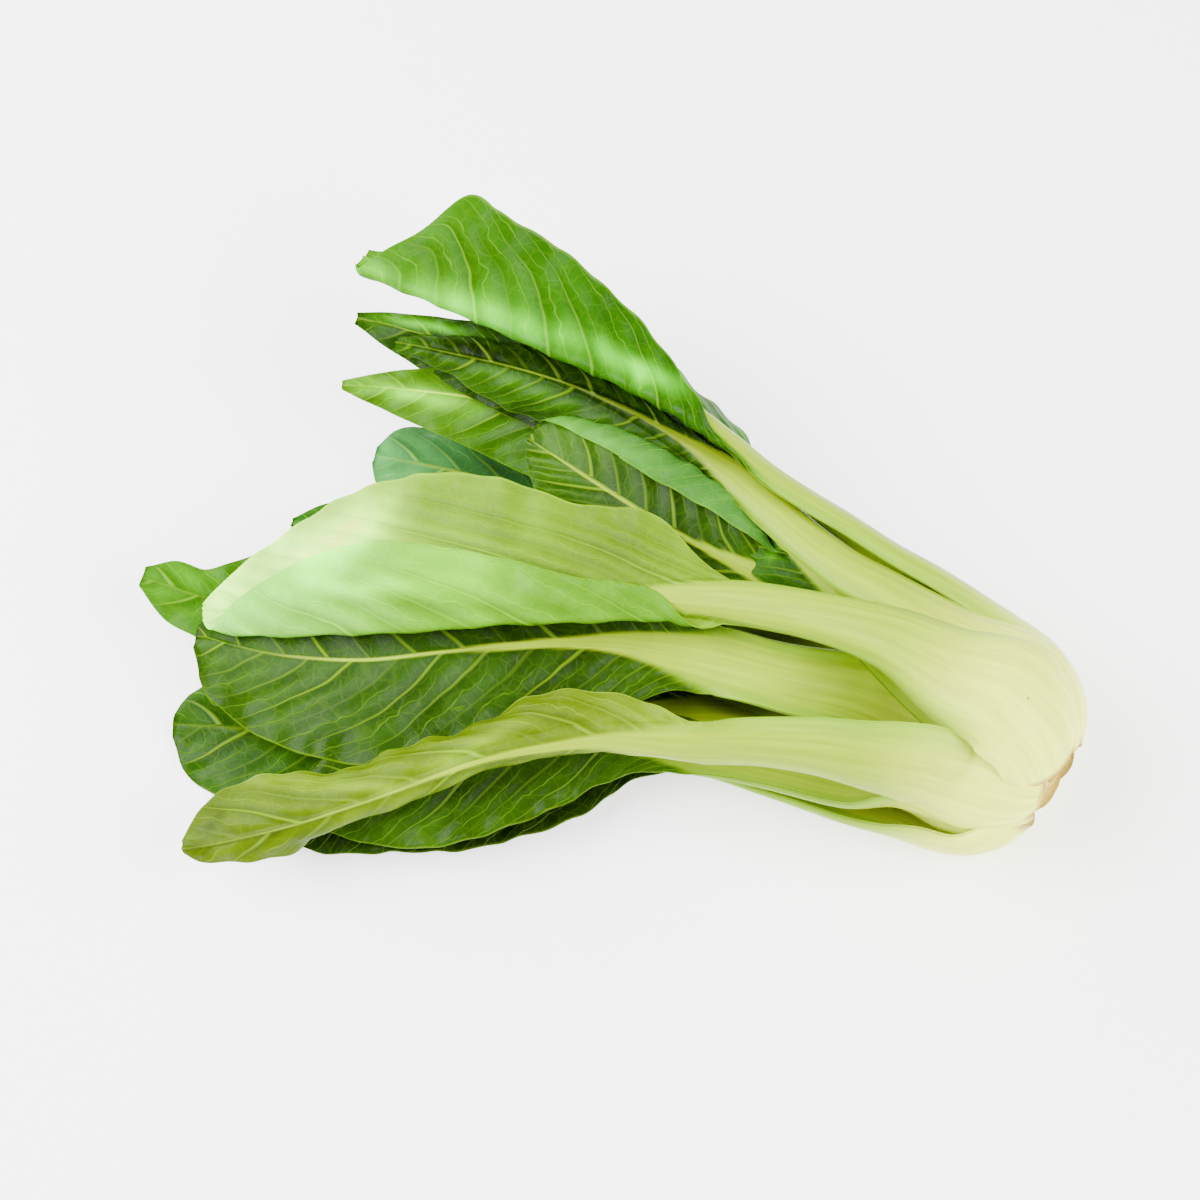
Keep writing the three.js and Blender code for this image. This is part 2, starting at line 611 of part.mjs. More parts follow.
// A thin closed sheet: both faces carry the same split into triangles
function sheetSolid(rings) {
  const around = rings[0].length;
  const count = around / 2;
  const triangles = [];
  const id = (r, k) => r * around + (k + around) % around;
  for (let r = 0; r + 1 < rings.length; r += 1) {
    for (let k = 0; k < around; k += 1) {
      const [a, b, c, d] = [id(r, k), id(r, k + 1), id(r + 1, k + 1), id(r + 1, k)];
      const lower = k >= count && k < around - 1;
      if (lower) triangles.push([a, b, d], [b, c, d]);
      else triangles.push([a, b, c], [a, c, d]);
    }
  }
  for (let k = 0; k + 1 < count; k += 1) {
    const end = rings.length - 1;
    const [a, b, c, d] = [id(0, k), id(0, k + 1), id(0, around - 2 - k), id(0, around - 1 - k)];
    triangles.push([b, a, d], [b, d, c]);
    const [e, f, g, h] = [id(end, k), id(end, k + 1), id(end, around - 2 - k), id(end, around - 1 - k)];
    triangles.push([e, f, g], [e, g, h]);
  }
  return solidFrom(rings.flat(), triangles);
}

function stemBase(grow) {
  const rings = STEM_SHAPE.map(([along, radius]) => {
    const ring = [];
    for (let k = 0; k < STEM_SIDES; k += 1) {
      const turn = 2 * Math.PI * k / STEM_SIDES;
      const r = radius + grow;
      const far = along + (along === 0 ? -grow : grow);
      const round = [[OUT_NEAR, r * Math.cos(turn)], [OUT_UP, r * Math.sin(turn)]];
      ring.push(mixOf([[CUT_CENTRE, 1], [AXIS, far], ...round]));
    }
    return ring;
  });
  return fromRings(rings);
}

// Everything below the table top or beyond the cut is trimmed off
function trimmed(solid) {
  const aboveTable = solid.trimByPlane([0, 0, 1], 0);
  return aboveTable.trimByPlane(AXIS.toArray(), CUT_CENTRE.dot(AXIS));
}

function largest(solid) {
  const pieces = solid.decompose();
  pieces.sort((p, q) => q.volume() - p.volume());
  return pieces[0];
}

const made = [{ name: 'stem_base', colour: 0xd9cf9a, rough: 0.7, solid: trimmed(stemBase(0)) }];
let taken = stemBase(CLEAR);
for (const leaf of LEAVES) {
  const run = course(leaf);
  const stalkRoom = stalkSolid(leaf, run, CLEAR);
  const stalk = trimmed(stalkSolid(leaf, run, 0).subtract(taken));
  const blade = trimmed(bladeSolid(leaf, run, 0).subtract(stalkRoom).subtract(taken));
  made.push({ name: `stalk_${leaf.name}`, colour: leaf.pale, rough: 0.45, solid: largest(stalk) });
  made.push({ name: `blade_${leaf.name}`, colour: leaf.green, rough: 0.5, solid: largest(blade) });
  taken = taken.add(stalkRoom).add(bladeSolid(leaf, run, CLEAR));
}

// The finished parts are moved so that the middle of the footprint is at zero
const group = new THREE.Group();
group.name = 'bok_choy';
for (const { name, colour, rough, solid } of made) {
  const { vertProperties, triVerts } = solid.getMesh();
  const geometry = new THREE.BufferGeometry();
  geometry.setAttribute('position', new THREE.BufferAttribute(new Float32Array(vertProperties), 3));
  geometry.setIndex(new THREE.BufferAttribute(new Uint32Array(triVerts), 1));
  const material = new THREE.MeshStandardMaterial({ name, color: colour, roughness: rough, metalness: 0 });
  const mesh = new THREE.Mesh(geometry, material);
  mesh.name = name;
  group.add(mesh);
}
const bounds = new THREE.Box3().setFromObject(group);
const middle = bounds.getCenter(vec(0, 0, 0));
for (const mesh of group.children) {
  mesh.geometry.translate(-middle.x, -middle.y, -bounds.min.z);
  mesh.geometry.computeVertexNormals();
}

export default group;
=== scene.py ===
# A head of green-stemmed bok choy lying on a pale table. Lengths in the
# tables are in millimetres, angles in degrees; meshes are built in metres.
import math

import bpy
import numpy as np
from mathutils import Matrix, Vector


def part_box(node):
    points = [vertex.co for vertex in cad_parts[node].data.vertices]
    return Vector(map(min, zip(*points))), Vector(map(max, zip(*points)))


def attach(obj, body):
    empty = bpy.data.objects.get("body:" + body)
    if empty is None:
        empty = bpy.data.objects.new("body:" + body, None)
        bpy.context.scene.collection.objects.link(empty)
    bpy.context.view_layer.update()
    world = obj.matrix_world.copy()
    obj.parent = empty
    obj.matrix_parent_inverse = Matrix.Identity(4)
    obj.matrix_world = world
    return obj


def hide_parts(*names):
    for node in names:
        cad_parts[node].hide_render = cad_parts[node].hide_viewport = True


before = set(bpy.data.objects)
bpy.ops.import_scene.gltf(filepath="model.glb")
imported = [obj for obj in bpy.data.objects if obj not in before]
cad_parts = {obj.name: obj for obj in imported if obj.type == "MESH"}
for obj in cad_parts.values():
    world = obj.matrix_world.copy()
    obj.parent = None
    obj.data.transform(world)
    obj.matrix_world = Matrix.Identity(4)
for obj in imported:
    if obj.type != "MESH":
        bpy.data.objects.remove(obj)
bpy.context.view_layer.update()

MM = 0.001

# The layout is written down as seen by an eye above the near side of the
# table. Each place is given by across, up and its height over the table.
EYE_TILT = 65.0
EYE_FAR = 737.0
AIM = (-3.9, -10.4)

# The short stem: place of its cut face, direction from the cut to the leaves,
# radius at some distances from the cut, and its sides in the layout
CUT = (113.5, -57.5, 25.8)
STEM_RUN = (-0.82, 0.57, 0)
STEM_SHAPE = [(0, 8), (2.5, 11.2), (5, 10.6), (8, 7.6), (12, 4.6), (18, 1.2)]
STEM_SIDES = 20

# The bulb: share of a stalk's own radius at some distances from the cut, for
# its course and for how its back is rounded
BULGE_SHAPE = [(0, 0.4), (4, 0.68), (10, 0.88), (18, 1)]
BULGE_ALONG = [(0, 0.42), (5, 0.62), (13, 0.86), (24, 1), (60, 1)]

# Stalk: distance from the cut, share of the bulb's half width, plain half
# width, swelling on the back, swelling inside
STALK_SHAPE = [
    (0, 0.34, 0.2, 1.6, 1.0),
    (5, 0.58, 0.3, 2.3, 1.1),
    (13, 0.86, 0.6, 2.8, 1.2),
    (24, 0.92, 1.4, 2.9, 1.2),
    (36, 0.62, 3.6, 2.8, 1.1),
    (50, 0.2, 6.1, 2.6, 1.0),
    (68, 0, 6.2, 2.5, 0.9),
    (90, 0, 5.2, 2.4, 0.9),
    (120, 0, 4.8, 2.3, 0.8),
]
# Half width in the bulb as a share of the stalk's ring, what the skin adds to
# that ring, and the least half width
BULB_WIDTH = 0.53
HALF_SKIN = 2
LEAST_HALF = 0.4
# Extra half width at the cut, given per leaf as clasp, is gone after this
CLASP_LENGTH = 17.0
# From the bulb to the neck the back gets rounder, down to this radius
NECK_CURVE = 11.0
NECK_FROM = 15
NECK_LENGTH = 50
# Stalks at the heart of the head are slimmer
HEART_RADIUS = 18
HEART_SLIM = 0.8
# The stalk runs on as the midrib over this share of the blade. At its end this
# share of its width is left, before squaring, and this swelling inside
STALK_END = 0.8
MIDRIB_LEAST = 0.1
INNER_LEAST = 0.5
# The most that the thin edge of a stalk wraps round, in radians
WRAP_LIMIT = 1.3

# The blade: its thickness, how long before its first row it opens from the
# stalk and over what length, the share of a half over which its edge lifts,
# how far past the stalk that reaches at least, and the share of its width at
# which a folded half turns at the latest
LAMINA = 0.5
OPENS_EARLY = 14
OPENING = 30
LIFT_SHARE = 0.75
LIFT_PAST = 0.3
TURN_SHARE = 0.6

# The margin's long wave, the finer frill on it and its crumpling
RUFFLE_LENGTH = 36.0
RUFFLE_DEPTH = 1.1
FRILL_LENGTH = 11
FRILL_DEPTH = 0.55
CRUMPLE_DEPTH = 0.4

# Relief of the skin: side veins on the back and inside, the quilting and
# puckers between them, long swells, and ribs along the stalk
VEIN_BACK = 0.3
VEIN_INSIDE = 0.1
QUILT_DEPTH = 0.5
PUCKER_DEPTH = 0.12
SWELL_DEPTH = 0.35
RIB_BACK = 0.1
RIB_INSIDE = 0.06
INSIDE_SUNK = 0.3

# How finely a leaf is divided: rows on the stalk, rows on the blade and
# columns to a side, for fine leaves and for the rest; steps of the walk across
# a half, how much closer columns stand where the blade bends, how evenly rows
# follow, and how far ahead and behind the course's direction is taken
FINENESS = {True: (80, 210, 42), False: (46, 90, 22)}
WALK = 72
BEND_WEIGHT = 0.2
ROWS_EVEN = 0.8
AHEAD_STEP = 0.4
# The lowest that any spot lies over the table
TABLE_ROOM = 0.1

# Leaves, front ones first. around and radius place the stalk on the bulb,
# girth scales the stalk's width, clasp widens its base. turn folds one half of
# the blade over: which half, from where, over what width, and the angle.
# Rows run from bulb to tip: across, up, height, roll, half widths (upper,
# lower), edge lifts (same)
LEAVES = {
    "01": dict(around=25, radius=29.3, girth=1, clasp=6.5, turn=(1, 4, 5, -172), fine=True, rows=[
        (88, -28, 53.5, 22, 0, 0, 0, 0),
        (72, -20, 54, 15, 0, 0, 0, 0),
        (50, -14, 51, 8, 0, 0, 0, 0),
        (30, -10.8, 48.5, 0, 5, 5, 0, 0),
        (20, -10, 47, 0, 11, 8, 10, 0),
        (10, -9.6, 46, 0, 20, 15, 15, 0),
        (-10, -9.8, 43.5, 0, 24, 18.5, 20, 0),
        (-30, -10.6, 40.5, 0, 30.5, 24, 20, 0),
        (-50, -12, 36, 0, 34, 29, 20, 0),
        (-70, -13, 31, 0, 29, 28.5, 20, 0),
        (-88, -13.6, 26, 0, 20, 22, 15, 0),
        (-100, -13, 23.5, 0, 9, 13.5, 10, 0),
        (-107, -12.5, 22, 0, 1, 3, 0, 0),
    ]),
    "02": dict(around=94, radius=26, girth=1, clasp=0, turn=(1, 4, 6, -160), fine=True, rows=[
        (96, -12.6, 38.5, 90, 0, 0, 0, 0),
        (84, -4.8, 42.5, 86, 0, 0, 0, 0),
        (72, 1.8, 45.3, 81, 0, 0, 0, 0),
        (60, 9.5, 47.5, 76, 0, 0, 0, 0),
        (50, 15.5, 48.5, 72, 0, 0, 0, 0),
        (40, 22, 50, 68, 4.5, 4.5, 0, 0),
        (30, 30, 52, 60, 13, 8, 15, 0),
        (16, 41, 55, 50, 17, 16, 20, 0),
        (0, 50, 57, 42, 19, 26, 20, 0),
        (-15, 57, 58, 40, 20, 31, 20, 0),
        (-30, 64, 57.5, 38, 21, 35, 20, 0),
        (-42, 69, 56.5, 38, 20, 37, 15, 0),
        (-49, 72, 55.6, 38, 15, 37.5, 12, 0),
        (-54, 74, 55, 38, 10, 25, 8, 0),
        (-60, 76.3, 54.4, 38, 6, 15, 0, 0),
        (-65.5, 78.5, 54, 38, 3, 5, 0, 0),
    ]),
    "03": dict(around=-38, radius=22.8, girth=1.25, clasp=0, turn=None, fine=True, rows=[
        (78, -55.5, 42, -40, 0, 0, 0, 0),
        (65, -53, 43, -42, 0, 0, 0, 0),
        (50, -50, 42, -42, 0, 0, 0, 0),
        (30, -47.8, 40, -42, 4.5, 5.5, 0, 10),
        (18, -47.8, 39.4, -40, 6.5, 7, 30, 40),
        (8, -47, 39, -36, 10, 9, 55, 75),
        (-5, -46.2, 38.4, -30, 13, 12, 75, 100),
        (-20, -48.2, 37.3, -26, 14.5, 13, 88, 115),
        (-35, -51.5, 36, -22, 13.5, 13, 95, 120),
        (-50, -57, 33.5, -18, 12, 13, 90, 115),
        (-66, -63, 30.5, -12, 12, 12, 75, 100),
        (-84, -69, 26.8, -6, 15, 9, 55, 70),
        (-100, -73, 22.8, 0, 14, 6, 35, 30),
        (-108, -74.5, 20.8, 0, 9, 4, 15, 0),
        (-112.5, -75, 20, 0, 2, 1.5, 0, 0),
    ]),
    "04": dict(around=57, radius=26.5, girth=1.05, clasp=0, turn=None, fine=True, rows=[
        (90, -18.4, 49, 48, 0, 0, 0, 0),
        (80, -12.8, 49.5, 44, 0, 0, 0, 0),
        (70, -7.2, 49.5, 40, 0, 0, 0, 0),
        (60, -1.8, 48.5, 36, 0, 0, 0, 0),
        (50, 5.4, 47.5, 32, 0, 0, 0, 0),
        (40, 14, 46, 28, 4.5, 4.5, 20, 10),
        (30, 22.3, 44.5, 24, 8, 6, 60, 35),
        (20, 29, 43.5, 20, 11, 8, 80, 60),
        (5, 37.5, 43.5, 15, 14, 11, 90, 65),
        (-10, 44.5, 43.2, 12, 15, 14, 90, 60),
        (-25, 49.5, 42.5, 10, 15, 12, 85, 55),
        (-40, 53, 41.5, 10, 12, 6, 80, 50),
        (-50, 55.2, 40.8, 10, 7, 4, 60, 40),
        (-57, 56.5, 40, 10, 2, 2, 0, 0),
    ]),
    "05": dict(around=175, radius=11, girth=0.75, clasp=0, turn=(1, 14, 4, 165), fine=True, rows=[
        (80, -33, 23, 178, 0, 0, 0, 0),
        (62, -17, 29, 176, 0, 0, 0, 0),
        (47, -8, 34.5, 175, 4.5, 4.5, 0, 0),
        (38, -4, 36, 175, 12, 9, 10, 0),
        (32, -1, 36.8, 175, 16, 15, 12, 0),
        (24, 2.8, 37.6, 175, 20, 22, 15, 0),
        (10, 10.7, 38.6, 176, 24, 24, 15, 0),
        (-5, 20, 39.2, 176, 22, 23, 10, 0),
        (-15, 26.5, 39.4, 176, 10, 16, 5, 0),
        (-21, 30.5, 39.4, 176, 4.5, 9, 0, 0),
        (-22.5, 31.5, 39.3, 176, 1.5, 2.5, 0, 0),
    ]),
    "06": dict(around=-172, radius=20, girth=1.6, clasp=0, turn=None, fine=True, rows=[
        (82, -42, 11.5, -172, 0, 0, 0, 0),
        (64, -35, 18, -175, 0, 0, 0, 0),
        (45, -31, 22.5, -178, 0, 0, 0, 0),
        (28, -26.5, 24, 180, 8, 8, 0, 0),
        (15, -24, 24.5, -178, 10, 10, 5, 5),
        (0, -22, 25, -176, 19, 18, 12, 10),
        (-20, -22, 25, -174, 26, 24, 15, 12),
        (-45, -24, 24, -172, 28.5, 26, 12, 12),
        (-65, -26, 22, -172, 27, 25, 10, 10),
        (-85, -25, 20, -172, 22, 20, 8, 8),
        (-98, -22.5, 18.8, -172, 16, 13, 5, 5),
        (-105, -20.5, 18.2, -172, 10, 8.5, 0, 0),
        (-109, -19.8, 18, -172, 3, 3, 0, 0),
    ]),
    "07": dict(around=-106, radius=27.5, girth=1.3, clasp=7, turn=None, fine=True, rows=[
        (72, -66.5, 8.2, -118, 0, 0, 0, 0),
        (58, -62, 8.2, -130, 0, 0, 0, 0),
        (40, -56, 9, -139, 0, 0, 0, 0),
        (22, -49.5, 10, -146, 7, 7, 0, 0),
        (10, -47.5, 10.5, -150, 10, 9, 5, 5),
        (-3, -47, 11, -153, 15, 13, 8, 8),
        (-20, -50.5, 11, -155, 21, 17, 8, 10),
        (-40, -55, 10.3, -155, 21, 18, 8, 10),
        (-60, -60, 9.3, -155, 18, 16, 5, 8),
        (-78, -66, 8.6, -155, 11, 10, 5, 5),
        (-90, -70, 8, -155, 2.5, 2.5, 0, 0),
    ]),
    "08": dict(around=-82, radius=21.5, girth=1, clasp=0, turn=None, fine=False, rows=[
        (74, -60.5, 20.5, -108, 0, 0, 0, 0),
        (60, -59, 18.5, -130, 0, 0, 0, 0),
        (40, -54.5, 19, -140, 0, 0, 0, 0),
        (22, -50.5, 19.5, -148, 6, 6, 0, 0),
        (8, -48, 20, -152, 8, 8, 0, 0),
        (-5, -48, 20, -155, 11, 11, 5, 5),
        (-20, -49.5, 19.5, -157, 16, 13, 5, 5),
        (-38, -52.5, 18.5, -158, 20, 14, 5, 5),
        (-55, -56, 17, -158, 19, 13, 5, 5),
        (-72, -60, 15.5, -158, 13, 9, 0, 0),
        (-86, -64, 14.5, -158, 2.5, 2.5, 0, 0),
    ]),
    "09": dict(around=110, radius=12, girth=0.85, clasp=0, turn=None, fine=False, rows=[
        (82, -20, 31, 140, 0, 0, 0, 0),
        (60, -5, 31, 160, 0, 0, 0, 0),
        (40, 5, 31, 168, 4, 4, 0, 0),
        (20, 19, 31, 170, 12, 10, 10, 5),
        (0, 31, 30.5, 172, 16, 12, 10, 5),
        (-20, 38.5, 30, 172, 16, 11, 10, 5),
        (-35, 42, 29.5, 172, 13, 9, 8, 5),
        (-50, 44, 29, 172, 9, 6, 5, 5),
        (-62, 45, 28.5, 172, 5, 3.5, 0, 0),
        (-71, 45.5, 28, 172, 1.2, 1.2, 0, 0),
    ]),
    "10": dict(around=80, radius=15, girth=0.9, clasp=0, turn=None, fine=False, rows=[
        (82, -11, 33, 120, 0, 0, 0, 0),
        (62, 1, 35, 150, 0, 0, 0, 0),
        (44, 11.5, 36, 165, 4.5, 4.5, 0, 0),
        (28, 22.5, 37, 168, 12, 9, 5, 5),
        (10, 33.5, 37.5, 170, 15, 11, 8, 5),
        (-10, 45.5, 38, 170, 15, 11, 8, 5),
        (-30, 53, 37.5, 170, 13, 8, 5, 5),
        (-48, 58.3, 37, 170, 9, 5, 5, 5),
        (-60, 61.5, 36.3, 170, 5, 3, 0, 0),
        (-67, 63, 36, 170, 1.5, 1.5, 0, 0),
    ]),
    "11": dict(around=30, radius=6, girth=0.6, clasp=0, turn=None, fine=False, rows=[
        (85, -35, 36, 40, 0, 0, 0, 0),
        (68, -18, 38, 30, 0, 0, 0, 0),
        (58, -8, 39, 25, 3.5, 3.5, 0, 0),
        (50, -2, 39.5, 20, 8, 8, 30, 30),
        (42, 5, 39.5, 20, 9, 10, 40, 40),
        (36, 11, 39, 20, 6, 7, 20, 20),
        (33, 14, 38.5, 20, 1, 1, 0, 0),
    ]),
    "12": dict(around=-163, radius=24.4, girth=1.1, clasp=0, turn=None, fine=False, rows=[
        (80, -47, 3.6, -160, 0, 0, 0, 0),
        (55, -42.5, 4.5, -156, 0, 0, 0, 0),
        (30, -40, 5.5, -155, 6, 6, 0, 0),
        (15, -39.5, 5.1, -155, 12, 12, -8, -8),
        (-10, -40, 5.3, -155, 20, 19, -14, -14),
        (-40, -41.5, 5.3, -155, 22, 21, -16, -16),
        (-70, -43, 5.3, -155, 22, 20, -16, -16),
        (-92, -44, 4.9, -155, 20, 18, -16, -16),
        (-105, -43.5, 4.3, -155, 16, 16, -14, -14),
        (-112, -43, 3.8, -155, 10, 10, -8, -8),
        (-115, -43, 3.6, -155, 3, 3, 0, 0),
    ]),
    "13": dict(around=150, radius=24.5, girth=1.1, clasp=0, turn=None, fine=False, rows=[
        (84, -29, 8, 168, 0, 0, 0, 0),
        (62, -19.5, 5, -172, 0, 0, 0, 0),
        (35, -7, 5, -160, 5, 5, 0, 0),
        (18, 2, 4, -155, 12, 12, -8, -8),
        (0, 9.5, 4.4, -155, 17, 17, -12, -12),
        (-20, 17, 4.8, -155, 19, 19, -14, -14),
        (-40, 22.5, 5, -155, 17, 17, -14, -14),
        (-54, 25.5, 5, -155, 12, 12, -12, -12),
        (-60, 26.5, 4.9, -155, 8, 8.5, -8, -8),
        (-62.5, 27, 4.8, -155, 2.5, 2.5, 0, 0),
    ]),
    "14": dict(around=140, radius=13, girth=0.85, clasp=0, turn=None, fine=False, rows=[
        (82, -21, 23, 150, 0, 0, 0, 0),
        (60, -8, 22, 165, 0, 0, 0, 0),
        (38, 1, 21, 175, 4, 4, 0, 0),
        (20, 14, 22, 178, 12, 12, 8, 5),
        (0, 27, 23, 178, 14, 14, 8, 5),
        (-14, 36, 24, 178, 13, 13, 8, 5),
        (-36, 43, 25, 178, 9, 9, 5, 5),
        (-47, 47, 25.5, 178, 4.5, 5, 0, 0),
        (-51, 48.5, 25.5, 178, 1, 1, 0, 0),
    ]),
    "15": dict(around=-125, radius=13, girth=0.85, clasp=0, turn=None, fine=False, rows=[
        (80, -52, 17.5, -135, 0, 0, 0, 0),
        (65, -47, 14, -145, 0, 0, 0, 0),
        (50, -41, 12, -155, 0, 0, 0, 0),
        (25, -30.5, 11.5, -160, 5, 5, 0, 0),
        (8, -24.5, 11.5, -160, 10, 10, 5, 5),
        (-45, -15.5, 11.6, -160, 19, 19, 5, 5),
        (-75, -12.5, 12, -160, 18, 18, 5, 5),
        (-95, -11.5, 13, -160, 15, 13, 5, 5),
        (-108, -9.5, 14.5, -160, 10, 8, 5, 5),
        (-117, -6.5, 16, -160, 7, 7, 0, 0),
        (-123, -4.5, 17, -160, 2.5, 2.5, 0, 0),
    ]),
    "16": dict(around=170, radius=9, girth=0.7, clasp=0, turn=None, fine=False, rows=[
        (82, -30, 15, 178, 0, 0, 0, 0),
        (62, -23, 15, -178, 0, 0, 0, 0),
        (45, -18.5, 16, -175, 0, 0, 0, 0),
        (28, -13, 17.3, -172, 6, 6, 0, 0),
        (12, -7, 18.2, -172, 10, 10, 5, 5),
        (-35, 3, 18.6, -172, 14, 14, 5, 5),
        (-58, 5.5, 18.4, -172, 12, 12, 5, 5),
        (-75, 8, 18.2, -172, 7, 7, 0, 0),
        (-84, 9.7, 18, -172, 1, 1, 0, 0),
    ]),
}

# How the side veins run: lean to the tip at the midrib on the upper and the
# lower half, how much more toward the margin, and the distance between them
VEINS = {
    "01": (2.4, 1.3, 0.6, 15.0),
    "02": (0.5, 0.1, 1.0, 10.5),
    "03": (2.0, 1.5, 0.5, 15.0),
    "04": (1.0, 1.0, 0.5, 9.0),
    "05": (1.9, 0.9, 0.3, 9.0),
    "06": (1.05, 0.9, 0.35, 11.5),
}
USUAL_VEINS = (1.0, 1.0, 0.5, 11.0)

# Colours of each leaf as screen colours, as it looks where it lies, so they hold painted light and shade as
# well as its own colour: leaves lying in shade are darker and the pale tip of 01 is painted light. For
# each: back of the blade near the stalk, at the middle, at the tip; then the same three for its inner face
SHADES_WITH_PAINTED_LIGHT = {
    "01": ((184, 208, 40), (190, 214, 74), (232, 244, 196),
           (172, 212, 84), (178, 216, 112), (206, 234, 168)),
    "02": ((112, 176, 4), (116, 176, 10), (150, 196, 60),
           (92, 154, 0), (98, 160, 0), (132, 188, 40)),
    "03": ((186, 204, 44), (160, 182, 34), (168, 190, 56),
           (120, 150, 40), (112, 142, 40), (130, 160, 50)),
    "04": ((120, 170, 50), (104, 156, 66), (110, 160, 50),
           (70, 112, 20), (64, 104, 20), (100, 150, 40)),
    "05": ((124, 178, 92), (132, 186, 108), (148, 200, 116),
           (96, 140, 20), (82, 124, 16), (110, 156, 30)),
    "06": ((120, 150, 50), (110, 145, 50), (120, 160, 60),
           (98, 140, 10), (80, 122, 6), (92, 136, 14)),
    "07": ((120, 160, 60), (110, 155, 60), (120, 165, 70),
           (72, 110, 8), (64, 102, 8), (72, 112, 16)),
    "08": ((130, 165, 70), (120, 160, 70), (130, 168, 80),
           (116, 158, 30), (100, 146, 24), (96, 140, 40)),
    "09": ((120, 160, 60), (112, 156, 60), (120, 166, 70),
           (104, 152, 40), (104, 156, 44), (140, 184, 80)),
    "10": ((84, 130, 34), (76, 122, 34), (92, 140, 44),
           (50, 92, 12), (56, 100, 16), (90, 140, 40)),
    "11": ((110, 160, 44), (100, 154, 36), (100, 154, 36),
           (80, 134, 20), (84, 140, 20), (84, 140, 24)),
    "12": ((90, 130, 40), (84, 126, 40), (90, 134, 50),
           (84, 128, 30), (90, 142, 50), (106, 158, 64)),
    "13": ((110, 156, 74), (104, 156, 76), (110, 164, 84),
           (88, 140, 56), (120, 176, 112), (140, 196, 140)),
    "14": ((80, 122, 40), (76, 118, 40), (84, 126, 44),
           (44, 80, 12), (48, 88, 14), (64, 108, 26)),
    "15": ((120, 160, 70), (112, 156, 70), (116, 164, 76),
           (90, 140, 40), (104, 156, 56), (126, 178, 80)),
    "16": ((120, 164, 80), (116, 164, 84), (120, 170, 92),
           (70, 112, 30), (90, 140, 60), (124, 178, 100)),
}

# Painted highlights, painted sheen and painted shade on the blades and stalks, each a soft long patch:
# leaves, place across and up, half length, half width, turn, and how much brighter or darker it is painted
PAINTED_LIGHT_AND_SHADE = [
    ("02", -30, 63, 26, 4.5, -20, 5.5),
    ("02", 6, 50, 13, 3.5, -26, 6.5),
    ("02", -63, 76, 6, 2.5, -15, 1.8),
    ("02", -14, 82, 16, 7.0, -42, 0.8),
    ("02", 32, 35, 6, 2.0, -52, 2.8),
    ("10", -49, 61, 16, 2.0, -10, 11.0),
    ("10", -44, 56, 16, 2.5, -20, 0.55),
    ("04 10 14", -6, 44, 31, 3.5, -29, 0.3),
    ("04 14", -36, 54, 13, 2.5, -12, 0.12),
    ("04", -27, 47, 18, 2.0, -24, 1.9),
    ("06", 35, -28, 31, 8.0, -8, 1.6),
    ("04", 6, 31, 16, 2.5, -27, 1.5),
    ("09", -52, 43, 16, 2.5, -10, 4.5),
    ("13", -30, 23, 13, 5.5, -10, 0.4),
    ("13", -60, 27, 3, 8.0, 0, 1.5),
    ("05", -4, 31, 16, 2.5, -22, 1.9),
    ("05", -16, 29, 4, 5.5, 0, 1.5),
    ("01", -68, 8, 17, 6.0, 38, 2.6),
    ("01", -35, 12, 12, 5.0, -22, 0.72),
    ("01", -1, 4, 13, 6.0, -30, 0.85),
    ("06", -66, -17, 39, 2.5, 2, 0.5),
    ("06", -43, -28, 23, 4.0, 8, 1.35),
    ("06", -105, -23, 3, 10.5, 8, 1.5),
    ("06", -61, -25, 18, 3.0, 4, 1.4),
    ("03", -77, -58, 22, 1.5, -3, 1.8),
    ("03", -38, -49, 17, 2.0, 27, 1.9),
    ("03", -104, -68, 4, 1.5, 50, 0.6),
    ("03", -14, -40, 10, 3.5, 14, 0.8),
    ("01", -61, -7, 16, 2.5, 4, 1.6),
    ("01", -43, -12, 29, 1.5, -2, 0.75),
    ("07 08 11 12 15 16", 31, -38, 17, 3.5, -12, 0.12),
    ("09 10 11 13 14 16", 44, -20, 15, 2.5, -10, 0.25),
    ("11", 42, 3, 4, 1.5, 60, 2.6),
    ("12", -110, -32, 6, 2.5, 20, 1.9),
    ("12", -95, -47, 10, 8.0, 0, 0.8),
    ("07 08", -48, -62, 29, 3.5, 14, 0.55),
    ("15", -110, -4, 7, 3.5, -20, 1.7),
]

# The stalk's colours: its own at the bulb and at the neck; at its thin edges its own green with painted
# shade of the grooves between stalks
STALK_PALE = np.array([0.82, 0.93, 0.08])
STALK_GREEN = np.array([0.25, 0.36, 0.001])
STALK_RIM_GREEN_AND_SHADE = np.array([0.14, 0.3, 0.003])
RIM_SHARE = 0.7
# Tan of the cut ends
SCAR = np.array([0.46, 0.28, 0.06])
SCAR_SHARE = 0.85
# Painted shade in the sunken seam at each vein and painted light on the puffs between them, and slow drift
# of the blade's tone
SEAM_SHADE = 0.34
TONE_DRIFT = 0.16
# The least and the most that a colour may hold
TINT_LIMITS = (0.0005, 0.93)
# How far the screen mutes a colour, and how strong the light on the heap is
MUTING = 0.12
STUDIO_LIGHT = 5.6

# Tissue: gloss, how much of a vein's colour shows, how much paler it is than the blade, and the same share
# for the painted shade in the fold beside it and for the margin
GLOSS = 0.08
LINE_SHARE = 0.85
VEIN_PALENESS = (0.11, 0.19, 0.0005)
FOLD_SHADE_SHARE = 0.45
MARGIN_SHARE = 0.55
# The net between side veins and the finer one in it: scale and share
NET = (0.24, 0.13)
FINE_NET = (0.9, 0.05)

# The table is lit from below too, as a light table is
FLOOR_GLOW = 1.6
FLOOR_HALF = 8.0
FLOOR_DROP = 0.0002
ROOM_LIGHT = 0.3
